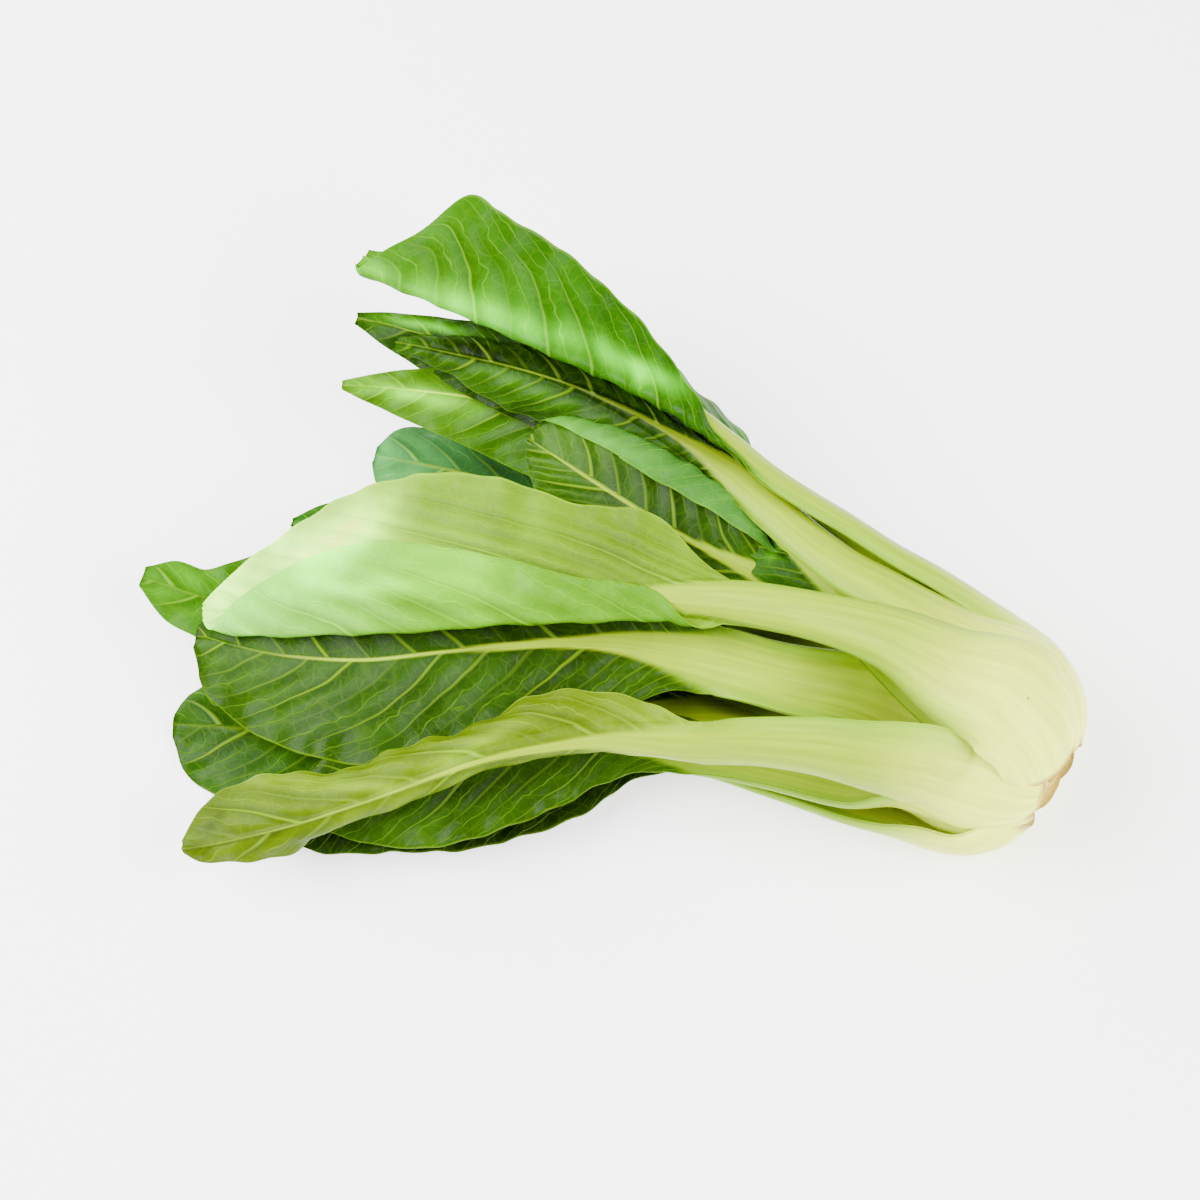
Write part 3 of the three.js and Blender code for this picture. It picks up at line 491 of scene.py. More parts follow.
# Lamps: name, place, size and watts
LAMPS = [
    ("key light", (-0.62, -0.08, 0.8), 0.8, 44.0),
    ("back light", (-0.6, 0.65, 0.5), 0.7, 12.0),
    ("fill light", (0.7, -0.3, 0.7), 0.8, 32.0),
]
# Lens and film width, and the nearest that the camera sees
LENS = 85
FILM = 36
NEAREST = 0.01


def unit(v):
    return v / np.maximum(np.linalg.norm(v, axis=-1, keepdims=True), 1e-9)


def dot(a, b):
    return (a * b).sum(-1, keepdims=True)


def ease(x):
    c = np.clip(x, 0, 1)
    return c * c * (3 - 2 * c)


def blend(share, a, b):
    """From a to b as share goes from 0 to 1."""
    return a * (1 - share) + b * share


def noise(x, y, seed, octaves=3):
    """Smooth seeded noise from summed sine waves, about -1 to 1."""
    rng = np.random.default_rng(seed)
    total = np.zeros(np.broadcast(x, y).shape)
    for octave in range(octaves):
        f = 2.0 ** octave
        for _ in range(4):
            a = rng.uniform(0, 2 * np.pi)
            p = rng.uniform(0, 2 * np.pi)
            total = total + np.sin(f * (x * np.cos(a) + y * np.sin(a)) + p) / (4 * f) * 1.6
    return total


def through(knots, rows):
    """A smooth curve through rows of numbers that stand at rising knots."""
    knots = np.asarray(knots, float)
    rows = np.asarray(rows, float)
    slope = np.empty_like(rows)
    slope[1:-1] = (rows[2:] - rows[:-2]) / (knots[2:] - knots[:-2])[:, None]
    slope[0] = (rows[1] - rows[0]) / (knots[1] - knots[0])
    slope[-1] = (rows[-1] - rows[-2]) / (knots[-1] - knots[-2])

    def at(s):
        s = np.asarray(s, float)
        i = np.clip(np.searchsorted(knots, s, side="left") - 1, 0, len(knots) - 2)
        span = (knots[i + 1] - knots[i])[:, None]
        f = np.clip((s - knots[i])[:, None] / span, 0, 1)
        g = 1 - f
        return (rows[i] * g * g * (1 + 2 * f) + rows[i + 1] * f * f * (3 - 2 * f)
                + span * f * g * (g * slope[i] - f * slope[i + 1]))
    return at


def through_table(table):
    """The same through a table whose rows start with the knot."""
    return through([r[0] for r in table], [r[1:] for r in table])


stem_radius = through_table(STEM_SHAPE)
stalk_shape = through_table(STALK_SHAPE)
bulge_along = through_table(BULGE_ALONG)

TILT = math.radians(EYE_TILT)
RIGHT = np.array([1.0, 0, 0])
UP = np.array([0, math.sin(TILT), math.cos(TILT)])
NEAR = np.array([0, -math.cos(TILT), math.sin(TILT)])
EYE = RIGHT * AIM[0] + UP * AIM[1] + NEAR * EYE_FAR


def seen(across, up, height):
    """The place at this height that the eye sees at across and up."""
    on_plane = RIGHT * across + UP * up
    far = (height - EYE[2]) / (on_plane[2] - EYE[2])
    return EYE * (1 - far) + on_plane * far


CUT_CENTRE = seen(*CUT)
AXIS = unit(np.array(STEM_RUN))
OUT_NEAR = unit(NEAR - NEAR.dot(AXIS) * AXIS)
OUT_UP = np.cross(AXIS, OUT_NEAR)


def ring(along, radius, count):
    """Places round the stem at this distance from the cut."""
    turn = 2 * np.pi * np.arange(count)[:, None] / count
    return CUT_CENTRE + AXIS * along + radius * (OUT_NEAR * np.cos(turn) + OUT_UP * np.sin(turn))


# The layout's place in the row frame, read from the stem's own box
layout_low = np.min([ring(a, r, STEM_SIDES).min(0) for a, r in STEM_SHAPE], axis=0)
SHIFT = np.array(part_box("stem_base")[0]) / MM - layout_low


class Course:
    """The whole course of a leaf: place, direction of its back, widths, lifts."""

    def __init__(self, leaf):
        around = math.radians(leaf["around"])
        out = OUT_NEAR * math.cos(around) + OUT_UP * math.sin(around)
        places = [CUT_CENTRE + AXIS * a + out * leaf["radius"] * g for a, g in BULGE_SHAPE]
        backs = [out] * len(places)
        rest = [(0, 0, 0, 0)] * len(places)
        first = len(places)
        places += [seen(*row[:3]) for row in leaf["rows"]]
        for i, row in enumerate(leaf["rows"], first):
            ahead = unit(places[min(i + 1, len(places) - 1)] - places[i - 1])
            facing = unit(NEAR - NEAR.dot(ahead) * ahead)
            roll = math.radians(row[3])
            backs.append(facing * math.cos(roll) + np.cross(ahead, facing) * math.sin(roll))
            rest.append(row[4:])
        steps = np.linalg.norm(np.diff(places, axis=0), axis=1)
        knots = np.concatenate([[0], np.cumsum(steps)])
        wide = next(n for n, row in enumerate(leaf["rows"]) if row[4] > 0)
        self.at = through(knots, np.hstack([places, backs, rest]))
        self.opens = knots[first + wide]
        self.ends = knots[-1]
        self.leaf = leaf

    def ahead(self, s):
        """Direction toward the tip."""
        before, after = np.maximum(0, s - AHEAD_STEP), np.minimum(self.ends, s + AHEAD_STEP)
        return unit(self.at(after)[:, :3] - self.at(before)[:, :3])

    def stalk(self, s):
        """Half width, swellings and curving of the stalk."""
        leaf = self.leaf
        bulb, plain, back, inner = stalk_shape(np.minimum(s, self.opens)).T
        gone = np.maximum(0, (s - self.opens) / (STALK_END * (self.ends - self.opens)))
        left = np.maximum(MIDRIB_LEAST, 1 - gone) ** 2
        base = (bulb * BULB_WIDTH * (leaf["radius"] + HALF_SKIN)
                + leaf["clasp"] * (1 - ease(s / CLASP_LENGTH)))
        wide = (base + plain * leaf["girth"]) * left + LEAST_HALF
        slim = HEART_SLIM if leaf["radius"] < HEART_RADIUS else 1.0
        round_back = leaf["radius"] * bulge_along(s)[:, 0] + HALF_SKIN
        curved = blend(ease((s - NECK_FROM) / NECK_LENGTH), round_back, NECK_CURVE)
        return wide, back * slim * left ** 0.25, inner * slim * left + INNER_LEAST, curved


def half_sheet(course, here, opened, wide, curved, columns, half):
    """One half of the cross-sections: from the midrib out, the distance walked,
    the way along, the way back and the turning, and how far the half reaches."""
    sign = -1 if half else 1
    spread = np.maximum(here[:, 6 + half], wide + LIFT_PAST)[:, None]
    reach = np.maximum(here[:, 6 + half], wide)
    step = (reach / WALK)[:, None]
    lift = here[:, 8 + half][:, None]

    def angle(w):
        blade = lift * ease(w / (LIFT_SHARE * spread))
        turn = course.leaf["turn"]
        if turn and turn[0] == half:
            start = np.minimum(turn[1], TURN_SHARE * reach)[:, None]
            blade = blade + turn[3] * ease((w - start) / turn[2])
        plain = np.minimum(WRAP_LIMIT, w / curved[:, None])
        return blend(opened, plain, np.radians(blade))

    knots = step * np.arange(WALK + 1)
    theta = angle(step * (np.arange(WALK) + 0.5))
    zero = np.zeros((len(reach), 1))
    along = np.hstack([zero, np.cumsum(np.cos(theta) * step, 1)]) * sign
    away = -np.hstack([zero, np.cumsum(np.sin(theta) * step, 1)])
    turned = angle(knots)
    bend = np.abs(np.diff(turned, axis=1))
    weight = np.hstack([zero, np.cumsum(1 / WALK + BEND_WEIGHT * bend, 1)])
    shares = np.linspace(0, 1, columns + 1)
    parts = [np.empty((len(reach), columns + 1)) for _ in range(4)]
    for r in range(len(reach)):
        w = parts[0][r] = np.interp(shares * weight[r, -1], weight[r], knots[r])
        for part, values in zip(parts[1:], (along, away, turned)):
            part[r] = np.interp(w, knots[r], values[r])
    return parts, reach


def sheet(course, s, columns):
    """Cross-sections at s: spots, outward normals and distances from the midrib."""
    here = course.at(s)
    place, guide = here[:, :3], here[:, 3:6]
    ahead = course.ahead(s)
    back = unit(guide - dot(guide, ahead) * ahead)
    side = np.cross(ahead, back)
    wide, swell_back, swell_in, curved = course.stalk(s)
    opened = ease((s - course.opens + OPENS_EARLY) / OPENING)[:, None]
    plus, reach_plus = half_sheet(course, here, opened, wide, curved, columns, 0)
    minus, reach_minus = half_sheet(course, here, opened, wide, curved, columns, 1)
    minus[0] = -minus[0]
    w, along, away, turned = (np.hstack([m[:, ::-1], p[:, 1:]]) for p, m in zip(plus, minus))
    sign = np.where(w >= 0, 1.0, -1.0)
    spots = place[:, None] + side[:, None] * along[..., None] + back[:, None] * away[..., None]
    normals = (back[:, None] * np.cos(turned)[..., None]
               + side[:, None] * (sign * np.sin(turned))[..., None])
    reach = np.where(w >= 0, reach_plus[:, None], reach_minus[:, None])
    return dict(w=w, q=np.abs(w) / reach, u=w / wide[:, None], sign=sign, spots=spots, normals=normals,
                opened=opened, back=swell_back[:, None], inner=swell_in[:, None])


def tissue(rgb):
    """The tissue's own colour for a colour wanted on the screen under the studio light."""
    c = np.asarray(rgb, float) / 255
    c = np.where(c <= 0.04045, c / 12.92, ((c + 0.055) / 1.055) ** 2.4)
    c = c / (1 - 0.92 * c)
    c = c - MUTING * (c.max(-1, keepdims=True) - c)
    return np.clip(c / STUDIO_LIGHT, TINT_LIMITS[0], 0.9)


def painted_light_and_shade_at(key, spots):
    """Painted highlight and painted shade: how much brighter or darker each spot of this leaf is painted.
    """
    far = (NEAR.dot(EYE) / (EYE - spots).dot(NEAR))[..., None]
    on_plane = EYE + (spots - EYE) * far
    across, up = on_plane.dot(RIGHT), on_plane.dot(UP)
    ragged = 1 + 0.3 * noise(across / 3.5, up / 3.5, 12 + int(key))
    total = np.zeros(across.shape)
    for keys, x, y, long, wide, turn, gain in PAINTED_LIGHT_AND_SHADE:
        if key in keys.split():
            a = math.radians(turn)
            dx, dy = across - x, up - y
            p = (dx * math.cos(a) + dy * math.sin(a)) / long
            q = (dy * math.cos(a) - dx * math.sin(a)) / wide
            total = total + math.log(gain) * np.exp(-(p ** 2 + q ** 2) * ragged)
    return np.exp(total)


def leaf_rows(course, on_stalk, on_blade):
    """Distances from the cut at which the leaf gets its rows."""
    share = np.linspace(0, 1, on_blade)
    share = blend(ROWS_EVEN, (1 - np.cos(np.pi * share)) / 2, share)
    return np.concatenate([
        np.linspace(0, course.opens, on_stalk, endpoint=False),
        course.opens + (course.ends - course.opens) * share,
    ])


def greening(seed, g, along, on, length):
    """How green each spot is. The pale rib in the blade narrows fast."""
    thin = 0.35 + 0.6 * (1 - ease(on / 40)) + 0.1 * noise(g["w"] / 1.6, along / 40, 50 + seed, 2)
    green = ease((on + 6) / 12) * ease((np.abs(g["u"]) / thin - 0.75) / 0.5)
    return np.maximum(green, ease((on - 0.7 * length) / 30) * 0.8)


def side_veins(key, g, along, on):
    """Side veins: a phase that is whole on each of them, the distance that one
    phase spans, the slant of their way out, and how strong each one is."""
    seed, w, q, sign = int(key), g["w"], g["q"], g["sign"]
    lean_up, lean_down, curve, spacing = VEINS.get(key, USUAL_VEINS)
    lean = np.where(sign > 0, lean_up, lean_down) + 1.6 * (1 - ease((on + 10) / 45))
    slant = np.sqrt(1 + (lean + 2 * curve * q) ** 2)
    wander = 0.14 * noise(along / 16, w / 10, 40 + seed) + 0.06 * noise(along / 5, w / 4, 60 + seed)
    shift = np.where(sign > 0, 0.0, 0.45)
    phase = (on - np.abs(w) * (lean + curve * q)) / spacing + wander + shift
    strength = 0.6 + 0.4 * np.sin(np.round(phase) * 2.4 + seed + sign)
    return phase, spacing / slant, slant, strength


def margin_wave(seed, g, along, on, around):
    """How the edge waves in and out, with a fine frill on top."""
    long_wave = np.sin(2 * np.pi * along / RUFFLE_LENGTH + around) * g["opened"] * g["q"] ** 2
    past_rib = ease((on + 4) / 10) * ease((np.abs(g["u"]) - 0.86) / 0.3)
    frill = ease((g["q"] - 0.5) / 0.5) * g["opened"] * past_rib
    frill_wave = np.sin(2 * np.pi * along / FRILL_LENGTH + seed + 2 * g["sign"])
    crumple = noise(along / 4, g["w"] / 30, 7 + seed)
    return RUFFLE_DEPTH * long_wave + frill * (FRILL_DEPTH * frill_wave + CRUMPLE_DEPTH * crumple)


def faces_of(seed, g, along, spots, ridge):
    """Spots of the back and of the inside, as thick as stalk and blade are."""
    u = g["u"]
    dome = np.sqrt(np.clip(1 - u ** 2, 0, 1))
    grows = np.clip(g["back"] / 2.3, 0, 1)
    ribs = (0.5 + 0.5 * noise(u * 7, along / 60, 3 + seed, 2)) * dome
    half = (LAMINA / 2) * (1 - 0.45 * ease((g["q"] - 0.9) / 0.1))
    back_off = half + g["back"] * dome - RIB_BACK * ribs * grows + VEIN_BACK * ridge
    in_off = half + (g["inner"] - INSIDE_SUNK) * dome ** 2 - RIB_INSIDE * ribs + VEIN_INSIDE * ridge
    outer = spots + g["normals"] * back_off[..., None]
    inner = spots - g["normals"] * in_off[..., None]
    # A leaf that would dip into the table rests on it
    sunk = np.maximum(0, TABLE_ROOM - SHIFT[2] - np.minimum(outer[..., 2], inner[..., 2]))
    outer[..., 2] += sunk
    inner[..., 2] += sunk
    return outer, inner


def flesh_colours(seed, course, g, along):
    """Stalk colours: pale at the bulb, greener to the neck, and greener and darker at thin edges, where
    painted shade of the grooves is added.
    """
    ages = ease((along - 4) / (0.6 * course.opens))[..., None]
    rim = ease((np.abs(g["u"]) - 0.45) / 0.55) * ease((along - 12) / 25)
    flesh = blend(ages, STALK_PALE, STALK_GREEN)
    flesh = blend(RIM_SHARE * rim[..., None], flesh, STALK_RIM_GREEN_AND_SHADE)
    # The base end of each stalk is tan where it was cut
    uneven = 0.8 + 0.7 * noise(g["w"] / 1.5, along, 30 + seed)
    scar = SCAR_SHARE * (1 - ease((along - uneven) / 1.6))
    return blend(scar[..., None], flesh, SCAR)


def blade_colours(seed, shades, g, along, f):
    """Blade colours from three shades: near the stalk, at the middle, at the tip."""
    near, middle, tip = shades
    tone = blend(ease((f - 0.5) / 0.5), middle, tip)
    tone = blend(ease(f / 0.45), near, tone)
    return tone * (1 + TONE_DRIFT * noise(along / 16, g["w"] / 12, 20 + seed)[..., None])


def closed_faces(rows, columns):
    """Faces of the back, of the inside and of the rim between them, and which
    of the two materials each one has."""
    count = rows * columns
    ids = np.arange(count).reshape(rows, columns)
    a, b, c, d = ids[:-1, :-1], ids[:-1, 1:], ids[1:, 1:], ids[1:, :-1]
    back = np.stack([a, b, c, d], -1).reshape(-1, 4)
    inside = np.stack([a, d, c, b], -1).reshape(-1, 4) + count
    edges = (ids[:, -1][::-1], ids[:, 0], ids[0][::-1], ids[-1])
    rim = np.concatenate([
        np.stack([line[:-1], line[:-1] + count, line[1:] + count, line[1:]], -1) for line in edges])
    slots = np.repeat([0, 1, 0], [len(back), len(inside), len(rim)])
    return np.concatenate([back, inside, rim]).tolist(), slots


def smooth_mesh(name, verts, faces):
    """A smooth mesh from places in the layout."""
    mesh = bpy.data.meshes.new(name)
    mesh.from_pydata(((verts + SHIFT) * MM).tolist(), [], faces)
    mesh.polygons.foreach_set("use_smooth", np.ones(len(faces), bool))
    return mesh


def leaf_mesh(key, leaf):
    """One leaf, stalk and blade, as a closed mesh with relief on both faces."""
    course = Course(leaf)
    seed = int(key)
    on_stalk, on_blade, columns = FINENESS[leaf["fine"]]
    s = leaf_rows(course, on_stalk, on_blade)
    g = sheet(course, s, columns)
    w, q, u = g["w"], g["q"], g["u"]
    along = s[:, None]
    on = along - course.opens
    length = course.ends - course.opens

    green = greening(seed, g, along, on, length)
    phase, per_phase, slant, strength = side_veins(key, g, along, on)
    # A vein stands out as a ridge, wide at the midrib and thin at the margin,
    # and between veins the blade is puffed up and puckered
    apart = phase - np.round(phase)
    fades = np.clip(1.15 - q, 0, 1) ** 0.6
    ridge = np.exp(-(apart * per_phase / (1.15 - 0.5 * q)) ** 2) * green * fades * strength
    puff = np.cos(np.pi * apart) ** 2 - 0.5
    dent = np.sin(np.pi * np.clip(q, 0, 1)) ** 0.7
    pucker = PUCKER_DEPTH * noise(along / 2.6, w / 2.4, 90 + seed)
    quilt = (QUILT_DEPTH * puff + pucker) * green * dent
    swell = SWELL_DEPTH * noise(along / 11, w / 9, 70 + seed) * green * q
    wave = margin_wave(seed, g, along, on, leaf["around"])
    spots = g["spots"] + g["normals"] * (wave + swell - quilt)[..., None]
    outer, inner = faces_of(seed, g, along, spots, ridge)
    verts = np.concatenate([outer.reshape(-1, 3), inner.reshape(-1, 3)])
    faces, slots = closed_faces(*w.shape)

    # Painted highlights and painted shade from the patch table, on stalk and blade alike
    painted_gain = painted_light_and_shade_at(key, spots)[..., None]
    flesh = flesh_colours(seed, course, g, along) * painted_gain
    # Painted shade where the blade sinks at the veins, painted light where it puffs up between them
    puff_light_and_shade = (1 - SEAM_SHADE * puff * dent * fades)[..., None]
    shades = tissue(SHADES_WITH_PAINTED_LIGHT[key])
    f = np.clip(on / length, 0, 1)[..., None]
    colours = []
    for first in (0, 3):
        blade = blade_colours(seed + first, shades[first:first + 3], g, along, f) * painted_gain * puff_light_and_shade
        colours.append(blend(green[..., None], flesh, blade).reshape(-1, 3))
    tint = np.ones((len(verts), 4))
    tint[:, :3] = np.clip(np.concatenate(colours), *TINT_LIMITS)

    mesh = smooth_mesh("leaf_" + key, verts, faces)
    mesh.polygons.foreach_set("material_index", slots.astype(np.int32))
    attribute = mesh.attributes.new("tint", "FLOAT_COLOR", "POINT")
    attribute.data.foreach_set("color", tint.astype(np.float32).ravel())
    for name, values in (
        ("flow", (phase, np.abs(w) * slant, per_phase)),
        ("look", (green, strength * fades, q)),
        ("grain", (u * 5.5, along / 10, w)),
    ):
        values = np.stack(np.broadcast_arrays(*values), -1).reshape(-1, 3)
        attribute = mesh.attributes.new(name, "FLOAT_VECTOR", "POINT")
        attribute.data.foreach_set("vector", np.concatenate([values, values]).astype(np.float32).ravel())
    mesh.update()
    return mesh


def stem_mesh():
    """The cut stem: a rough disc that runs in between the stalks."""
    count = 72
    turn = np.linspace(0, 2 * np.pi, count, endpoint=False)
    rough = np.random.default_rng(5).uniform(-0.02, 0.02, count)
    wobble = 1 + 0.05 * np.sin(3 * turn + 1) + rough
    flat = ring(0, 1, count) - CUT_CENTRE
    rings = []
    for share in (0.12, 0.3, 0.5, 0.7, 0.86, 0.96):
        dip = 0.5 * (1 - share ** 2) + 0.12 * np.sin(9 * share + 3 * turn)
        radius = STEM_SHAPE[0][1] * share * wobble
        rings.append(CUT_CENTRE + flat * radius[:, None] + AXIS * dip[:, None])
    for along in (0.25, 0.9, 2.0, 3.2, 4.5, 6.5, 9.0, 12.0, 15.0, 18.0):
        radius = float(stem_radius(np.array([along]))[0, 0]) * wobble
        rings.append(CUT_CENTRE + AXIS * along + flat * radius[:, None])
    faces = []
    for start in range(0, (len(rings) - 1) * count, count):
        for k in range(count):
            n = (k + 1) % count
            faces.append((start + k, start + n, start + count + n, start + count + k))
    faces.append(tuple(reversed(range(count))))
    faces.append(tuple(range((len(rings) - 1) * count, len(rings) * count)))
    mesh = smooth_mesh("stem_base_cut", np.concatenate(rings), faces)
    mesh.update()
    return mesh


class Tree:
    """A small helper for material nodes."""

    def __init__(self, name):
        self.material = bpy.data.materials.new(name)
        self.material.use_nodes = True
        self.nodes = self.material.node_tree.nodes
        self.links = self.material.node_tree.links
        self.nodes.clear()

    def put(self, kind, settings=None, **inputs):
        """A node; an input is given by its name, or by its number as i0, i1."""
        node = self.nodes.new(kind)
        for key, value in (settings or {}).items():
            setattr(node, key, value)
        for key, value in inputs.items():
            by_number = key[0] == "i" and key[1:].isdigit()
            self.feed(node.inputs[int(key[1:]) if by_number else key.replace("_", " ")], value)
        return node

    def feed(self, socket, value):
        if isinstance(value, bpy.types.NodeSocket):
            self.links.new(value, socket)
        elif isinstance(value, bpy.types.Node):
            self.links.new(value.outputs[0], socket)
        else:
            socket.default_value = value

    def math(self, operation, a, b=0.0):
        return self.put("ShaderNodeMath", {"operation": operation}, i0=a, i1=b).outputs[0]

    def times(self, a, *more):
        for b in more:
            a = self.math("MULTIPLY", a, b)
        return a

    def rest_of(self, share):
        """What a share leaves of one."""
        return self.math("SUBTRACT", 1.0, share)

    def ramp(self, value, low, high, to_low=0.0, to_high=1.0):
        return self.put("ShaderNodeMapRange", {"interpolation_type": "SMOOTHSTEP"}, i0=value, i1=low,
                        i2=high, i3=to_low, i4=to_high).outputs[0]

    def mix(self, factor, a, b, blend_type="MIX"):
        node = self.put("ShaderNodeMix", {"data_type": "RGBA", "blend_type": blend_type})
        for number, value in ((0, factor), (6, a), (7, b)):
            self.feed(node.inputs[number], value)
        return node.outputs[2]

    def grey(self, tone):
        return self.put("ShaderNodeCombineColor", i0=tone, i1=tone, i2=tone).outputs[0]

    def field(self, name, output="Vector"):
        """What the mesh stores under this name."""
        return self.put("ShaderNodeAttribute", {"attribute_name": name}).outputs[output]

    def place(self):
        return self.put("ShaderNodeTexCoord").outputs["Object"]

    def parts(self, vector):
        return self.put("ShaderNodeSeparateXYZ", i0=vector).outputs

    def vector(self, operation, a, b, c=(0, 0, 0)):
        return self.put("ShaderNodeVectorMath", {"operation": operation}, i0=a, i1=b, i2=c).outputs[0]

    def cloud(self, where, scale, detail=2.0, rough=0.5):
        return self.put("ShaderNodeTexNoise", Scale=scale, Detail=detail, Roughness=rough,
                        Vector=where).outputs

    def cells(self, where, scale):
        return self.put("ShaderNodeTexVoronoi", Scale=scale, Vector=where).outputs

    def cell_edges(self, where, scale, width):
        """Thin lines between cells."""
        edges = self.put("ShaderNodeTexVoronoi", {"feature": "DISTANCE_TO_EDGE"}, Scale=scale, Vector=where)
        return self.rest_of(self.ramp(edges.outputs["Distance"], 0.0, width))


def vein_shares(t, spots, green, strength, q):
    """How much each point is a vein, and how much painted shade falls in the fold beside one."""
    phase, _, per_phase = t.parts(t.field("flow"))
    warp = t.cloud(spots, 0.12)
    bend = t.math("SUBTRACT", warp["Fac"], 0.5)

    def lines(shift, bends, widest):
        """Lines along each whole number of the phase, thinner outward."""
        moved = t.math("ADD", t.math("ADD", phase, 0.5 + shift), t.times(bend, bends))
        nearest = t.math("ABSOLUTE", t.math("SUBTRACT", t.math("FRACT", moved), 0.5))
        width = t.ramp(q, 0.0, 1.0, widest, 0.14)
        return t.rest_of(t.ramp(t.math("DIVIDE", t.times(nearest, per_phase), width), 0.2, 1.5))

    side = t.times(lines(0.0, 0.0, 0.5), strength)
    between = t.times(lines(0.47, 0.9, 0.22), t.ramp(q, 0.1, 0.45, 0.0, 0.5))
    warped = t.vector("MULTIPLY_ADD", warp["Color"], (7.0, 7.0, 0), spots)
    net = t.times(t.cell_edges(warped, NET[0], 0.09), NET[1])
    fine_net = t.times(t.cell_edges(warped, FINE_NET[0], 0.18), FINE_NET[1])
    veins = side
    for more in (between, net, fine_net):
        veins = t.math("MAXIMUM", veins, more)
    # Painted shade in the fold along one side of each vein
    fold_shade = t.times(lines(0.07, 0.0, 1.7), strength, green)
    return t.times(veins, green), fold_shade


def leaf_tissue(name, rough, bump, through_share):
    """Leaf flesh: tinted blade with side veins and a fine net, streaked stalk."""
    t = Tree(name)
    green, strength, q = t.parts(t.field("look"))
    grain = t.field("grain")
    _, tens, across = t.parts(grain)
    place = t.place()
    spots = t.put("ShaderNodeCombineXYZ", i0=t.times(tens, 10.0), i1=across, i2=0.0).outputs[0]
    veins, fold_shade = vein_shares(t, spots, green, strength, q)

    streak = t.cloud(t.vector("MULTIPLY", grain, (1.1, 0.25, 0.0)), 1.0, 4.0, 0.6)["Fac"]
    blotch = t.cloud(place, 90.0, 3.0)["Fac"]
    drift = t.cloud(place, 26.0)["Fac"]
    blade_tone = t.times(t.ramp(blotch, 0.25, 0.75, 0.86, 1.12), t.ramp(drift, 0.3, 0.7, 0.78, 1.18))
    stalk_tone = t.ramp(streak, 0.32, 0.68, 0.84, 1.1)
    pale = t.rest_of(green)
    tone = t.math("ADD", t.times(green, blade_tone), t.times(pale, stalk_tone))
    base = t.mix(1.0, t.field("tint", "Color"), t.grey(tone), "MULTIPLY")
    # Veins are paler than the blade, with painted shade in the fold beside them
    base = t.mix(t.times(fold_shade, FOLD_SHADE_SHARE), base, t.vector("MULTIPLY", base, (0.4, 0.5, 0.5)))
    line_colour = t.vector("MULTIPLY_ADD", base, (1.3, 1.3, 1.3), VEIN_PALENESS)
    base = t.mix(t.times(veins, LINE_SHARE), base, line_colour)
    # A pale thread along the margin
    margin = t.times(t.ramp(q, 0.972, 0.995), green)
    base = t.mix(t.times(margin, MARGIN_SHARE), base, line_colour)
    # A few small brown specks on the pale bulb
    cells = t.cells(place, 110.0)
    rare = t.ramp(t.parts(cells["Color"])[0], 0.78, 0.8)
    on_bulb = t.rest_of(t.ramp(tens, 3.0, 5.0))
    dot_share = t.times(t.rest_of(t.ramp(cells["Distance"], 0.02, 0.05)), rare, on_bulb)
    base = t.mix(t.times(dot_share, 0.8), base, (0.16, 0.08, 0.02, 1))

    grit = t.cloud(place, 700.0)["Fac"]
    height = t.math("ADD", t.times(veins, bump), t.times(green, grit, 0.25))
    height = t.math("ADD", height, t.times(pale, t.times(streak, 0.3)))
    bumped = t.put("ShaderNodeBump", Strength=0.6, Distance=0.0005, Height=height).outputs[0]
    roughness = t.math("ADD", rough, t.ramp(blotch, 0.3, 0.7, -0.06, 0.08))
    skin = t.put("ShaderNodeBsdfPrincipled", Base_Color=base, Roughness=roughness, Normal=bumped)
    skin.inputs["Specular IOR Level"].default_value = GLOSS
    through_colour = t.mix(1.0, base, (1.5, 1.35, 0.6, 1), "MULTIPLY")
    glow = t.put("ShaderNodeBsdfTranslucent", Color=through_colour, Normal=bumped)
    share = t.math("ADD", t.times(green, through_share), 0.06)
    t.put("ShaderNodeOutputMaterial", Surface=t.put("ShaderNodeMixShader", i0=share, i1=skin, i2=glow))
    return t.material


def cut_flesh():
    """The dry cut at the root: tan mottled with brown, and a few dark specks."""
    t = Tree("cut stem")
    place = t.place()
    cloud = t.cloud(place, 160.0, 4.0)["Fac"]
    speck = t.cloud(place, 520.0)["Fac"]
    base = t.mix(t.ramp(cloud, 0.35, 0.65), (0.62, 0.44, 0.12, 1), (0.3, 0.15, 0.03, 1))
    base = t.mix(t.ramp(speck, 0.62, 0.7, 0.0, 0.8), base, (0.05, 0.02, 0.006, 1))
    bumped = t.put("ShaderNodeBump", Strength=0.5, Distance=0.0006, Height=cloud).outputs[0]
    skin = t.put("ShaderNodeBsdfPrincipled", Base_Color=base, Roughness=0.75, Normal=bumped)
    t.put("ShaderNodeOutputMaterial", Surface=skin)
    return t.material


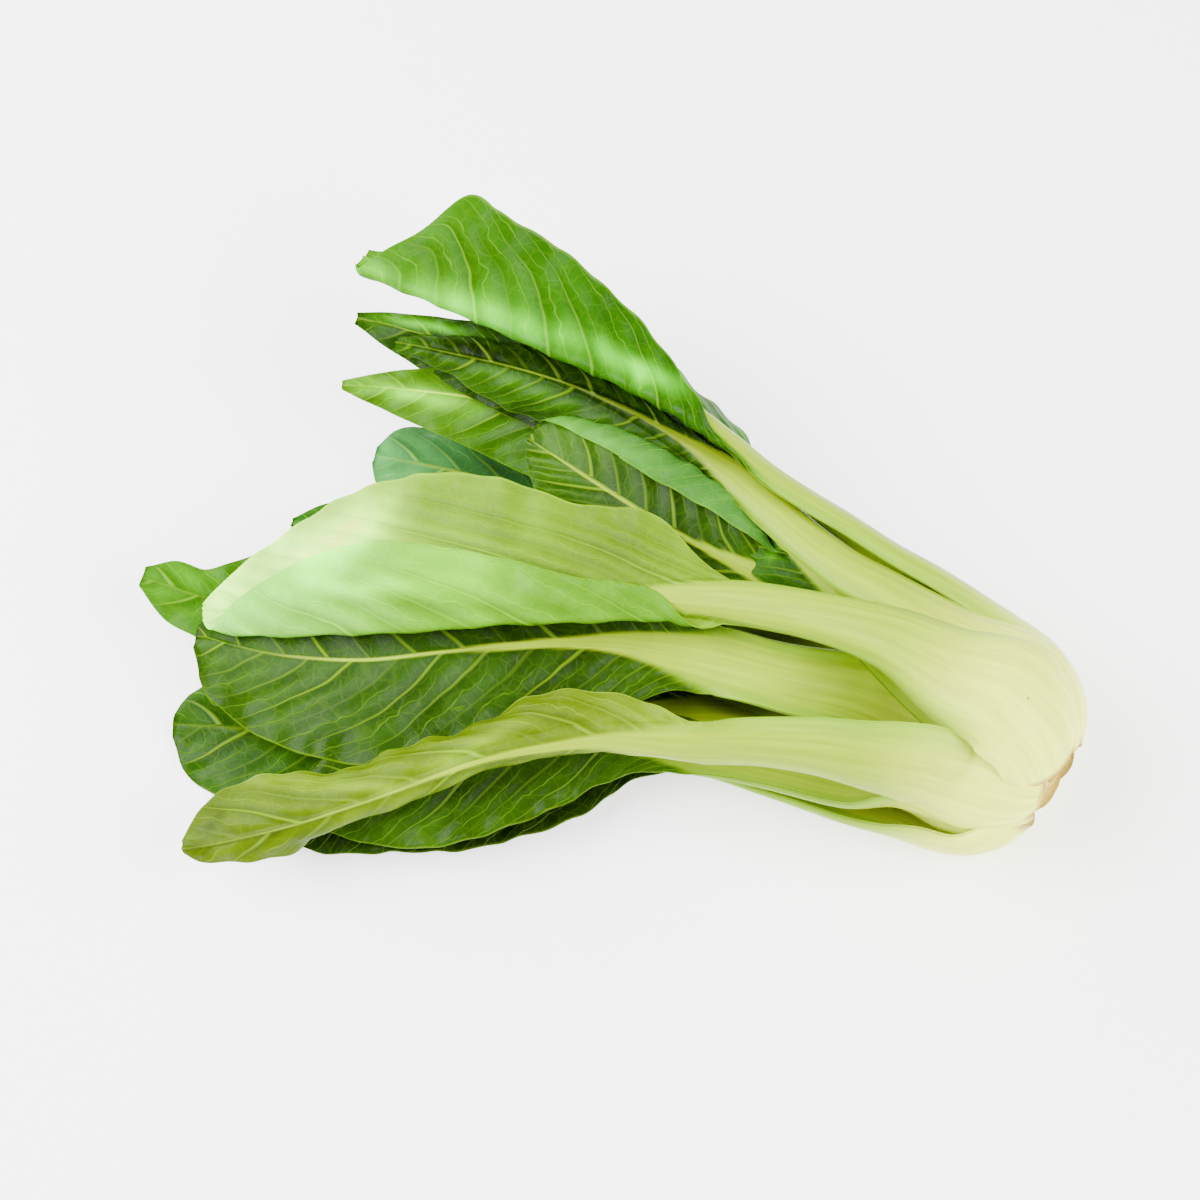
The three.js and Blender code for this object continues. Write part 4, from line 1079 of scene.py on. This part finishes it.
def pale_table():
    """Off-white table, a little cloudy and lit from below."""
    t = Tree("pale table")
    white = t.grey(t.ramp(t.cloud(t.place(), 3.0, 3.0)["Fac"], 0.3, 0.7, 0.86, 0.88))
    skin = t.put("ShaderNodeBsdfPrincipled", Roughness=0.9, Base_Color=white, Emission_Color=white)
    skin.inputs["Emission Strength"].default_value = FLOOR_GLOW
    t.put("ShaderNodeOutputMaterial", Surface=skin)
    return t.material


def added(name, data, materials=()):
    """A new object in the scene."""
    piece = bpy.data.objects.new(name, data)
    for material in materials:
        data.materials.append(material)
    bpy.context.scene.collection.objects.link(piece)
    return piece


def table():
    mesh = bpy.data.meshes.new("floor")
    far = FLOOR_HALF
    mesh.from_pydata([(-far, -far, 0), (far, -far, 0), (far, far, 0), (-far, far, 0)], [], [(0, 1, 2, 3)])
    floor = added("floor", mesh, [pale_table()])
    floor.location.z = -FLOOR_DROP


def lighting():
    """A soft even room and three large lamps aimed at the heap."""
    world = bpy.data.worlds.new("soft room")
    bpy.context.scene.world = world
    world.use_nodes = True
    world.node_tree.nodes["Background"].inputs["Color"].default_value = (1, 1, 1, 1)
    world.node_tree.nodes["Background"].inputs["Strength"].default_value = ROOM_LIGHT
    for name, place, size, power in LAMPS:
        light = bpy.data.lights.new(name, "AREA")
        light.size = size
        light.energy = power
        lamp = added(name, light)
        lamp.location = place
        x, y, z = place
        lamp.rotation_euler = (math.atan2(math.hypot(x, y), z), 0, math.atan2(-y, -x) - math.pi / 2)


def viewpoint():
    """The camera at the layout's eye."""
    lens = bpy.data.cameras.new("camera")
    lens.lens = LENS
    lens.sensor_width = FILM
    lens.clip_start = NEAREST
    camera = added("camera", lens)
    camera.location = ((EYE + SHIFT) * MM).tolist()
    camera.rotation_euler = (math.radians(90 - EYE_TILT), 0, 0)
    bpy.context.scene.camera = camera


BACK = leaf_tissue("leaf back", 0.36, 1.0, 0.3)
FACE = leaf_tissue("leaf face", 0.32, 0.8, 0.26)

for key, leaf in LEAVES.items():
    piece = added("leaf_" + key, leaf_mesh(key, leaf), [BACK, FACE])
    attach(piece, "root")
    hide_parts("stalk_" + key, "blade_" + key)

stem = added("stem_cut", stem_mesh(), [cut_flesh()])
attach(stem, "root")
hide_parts("stem_base")

table()
lighting()
viewpoint()
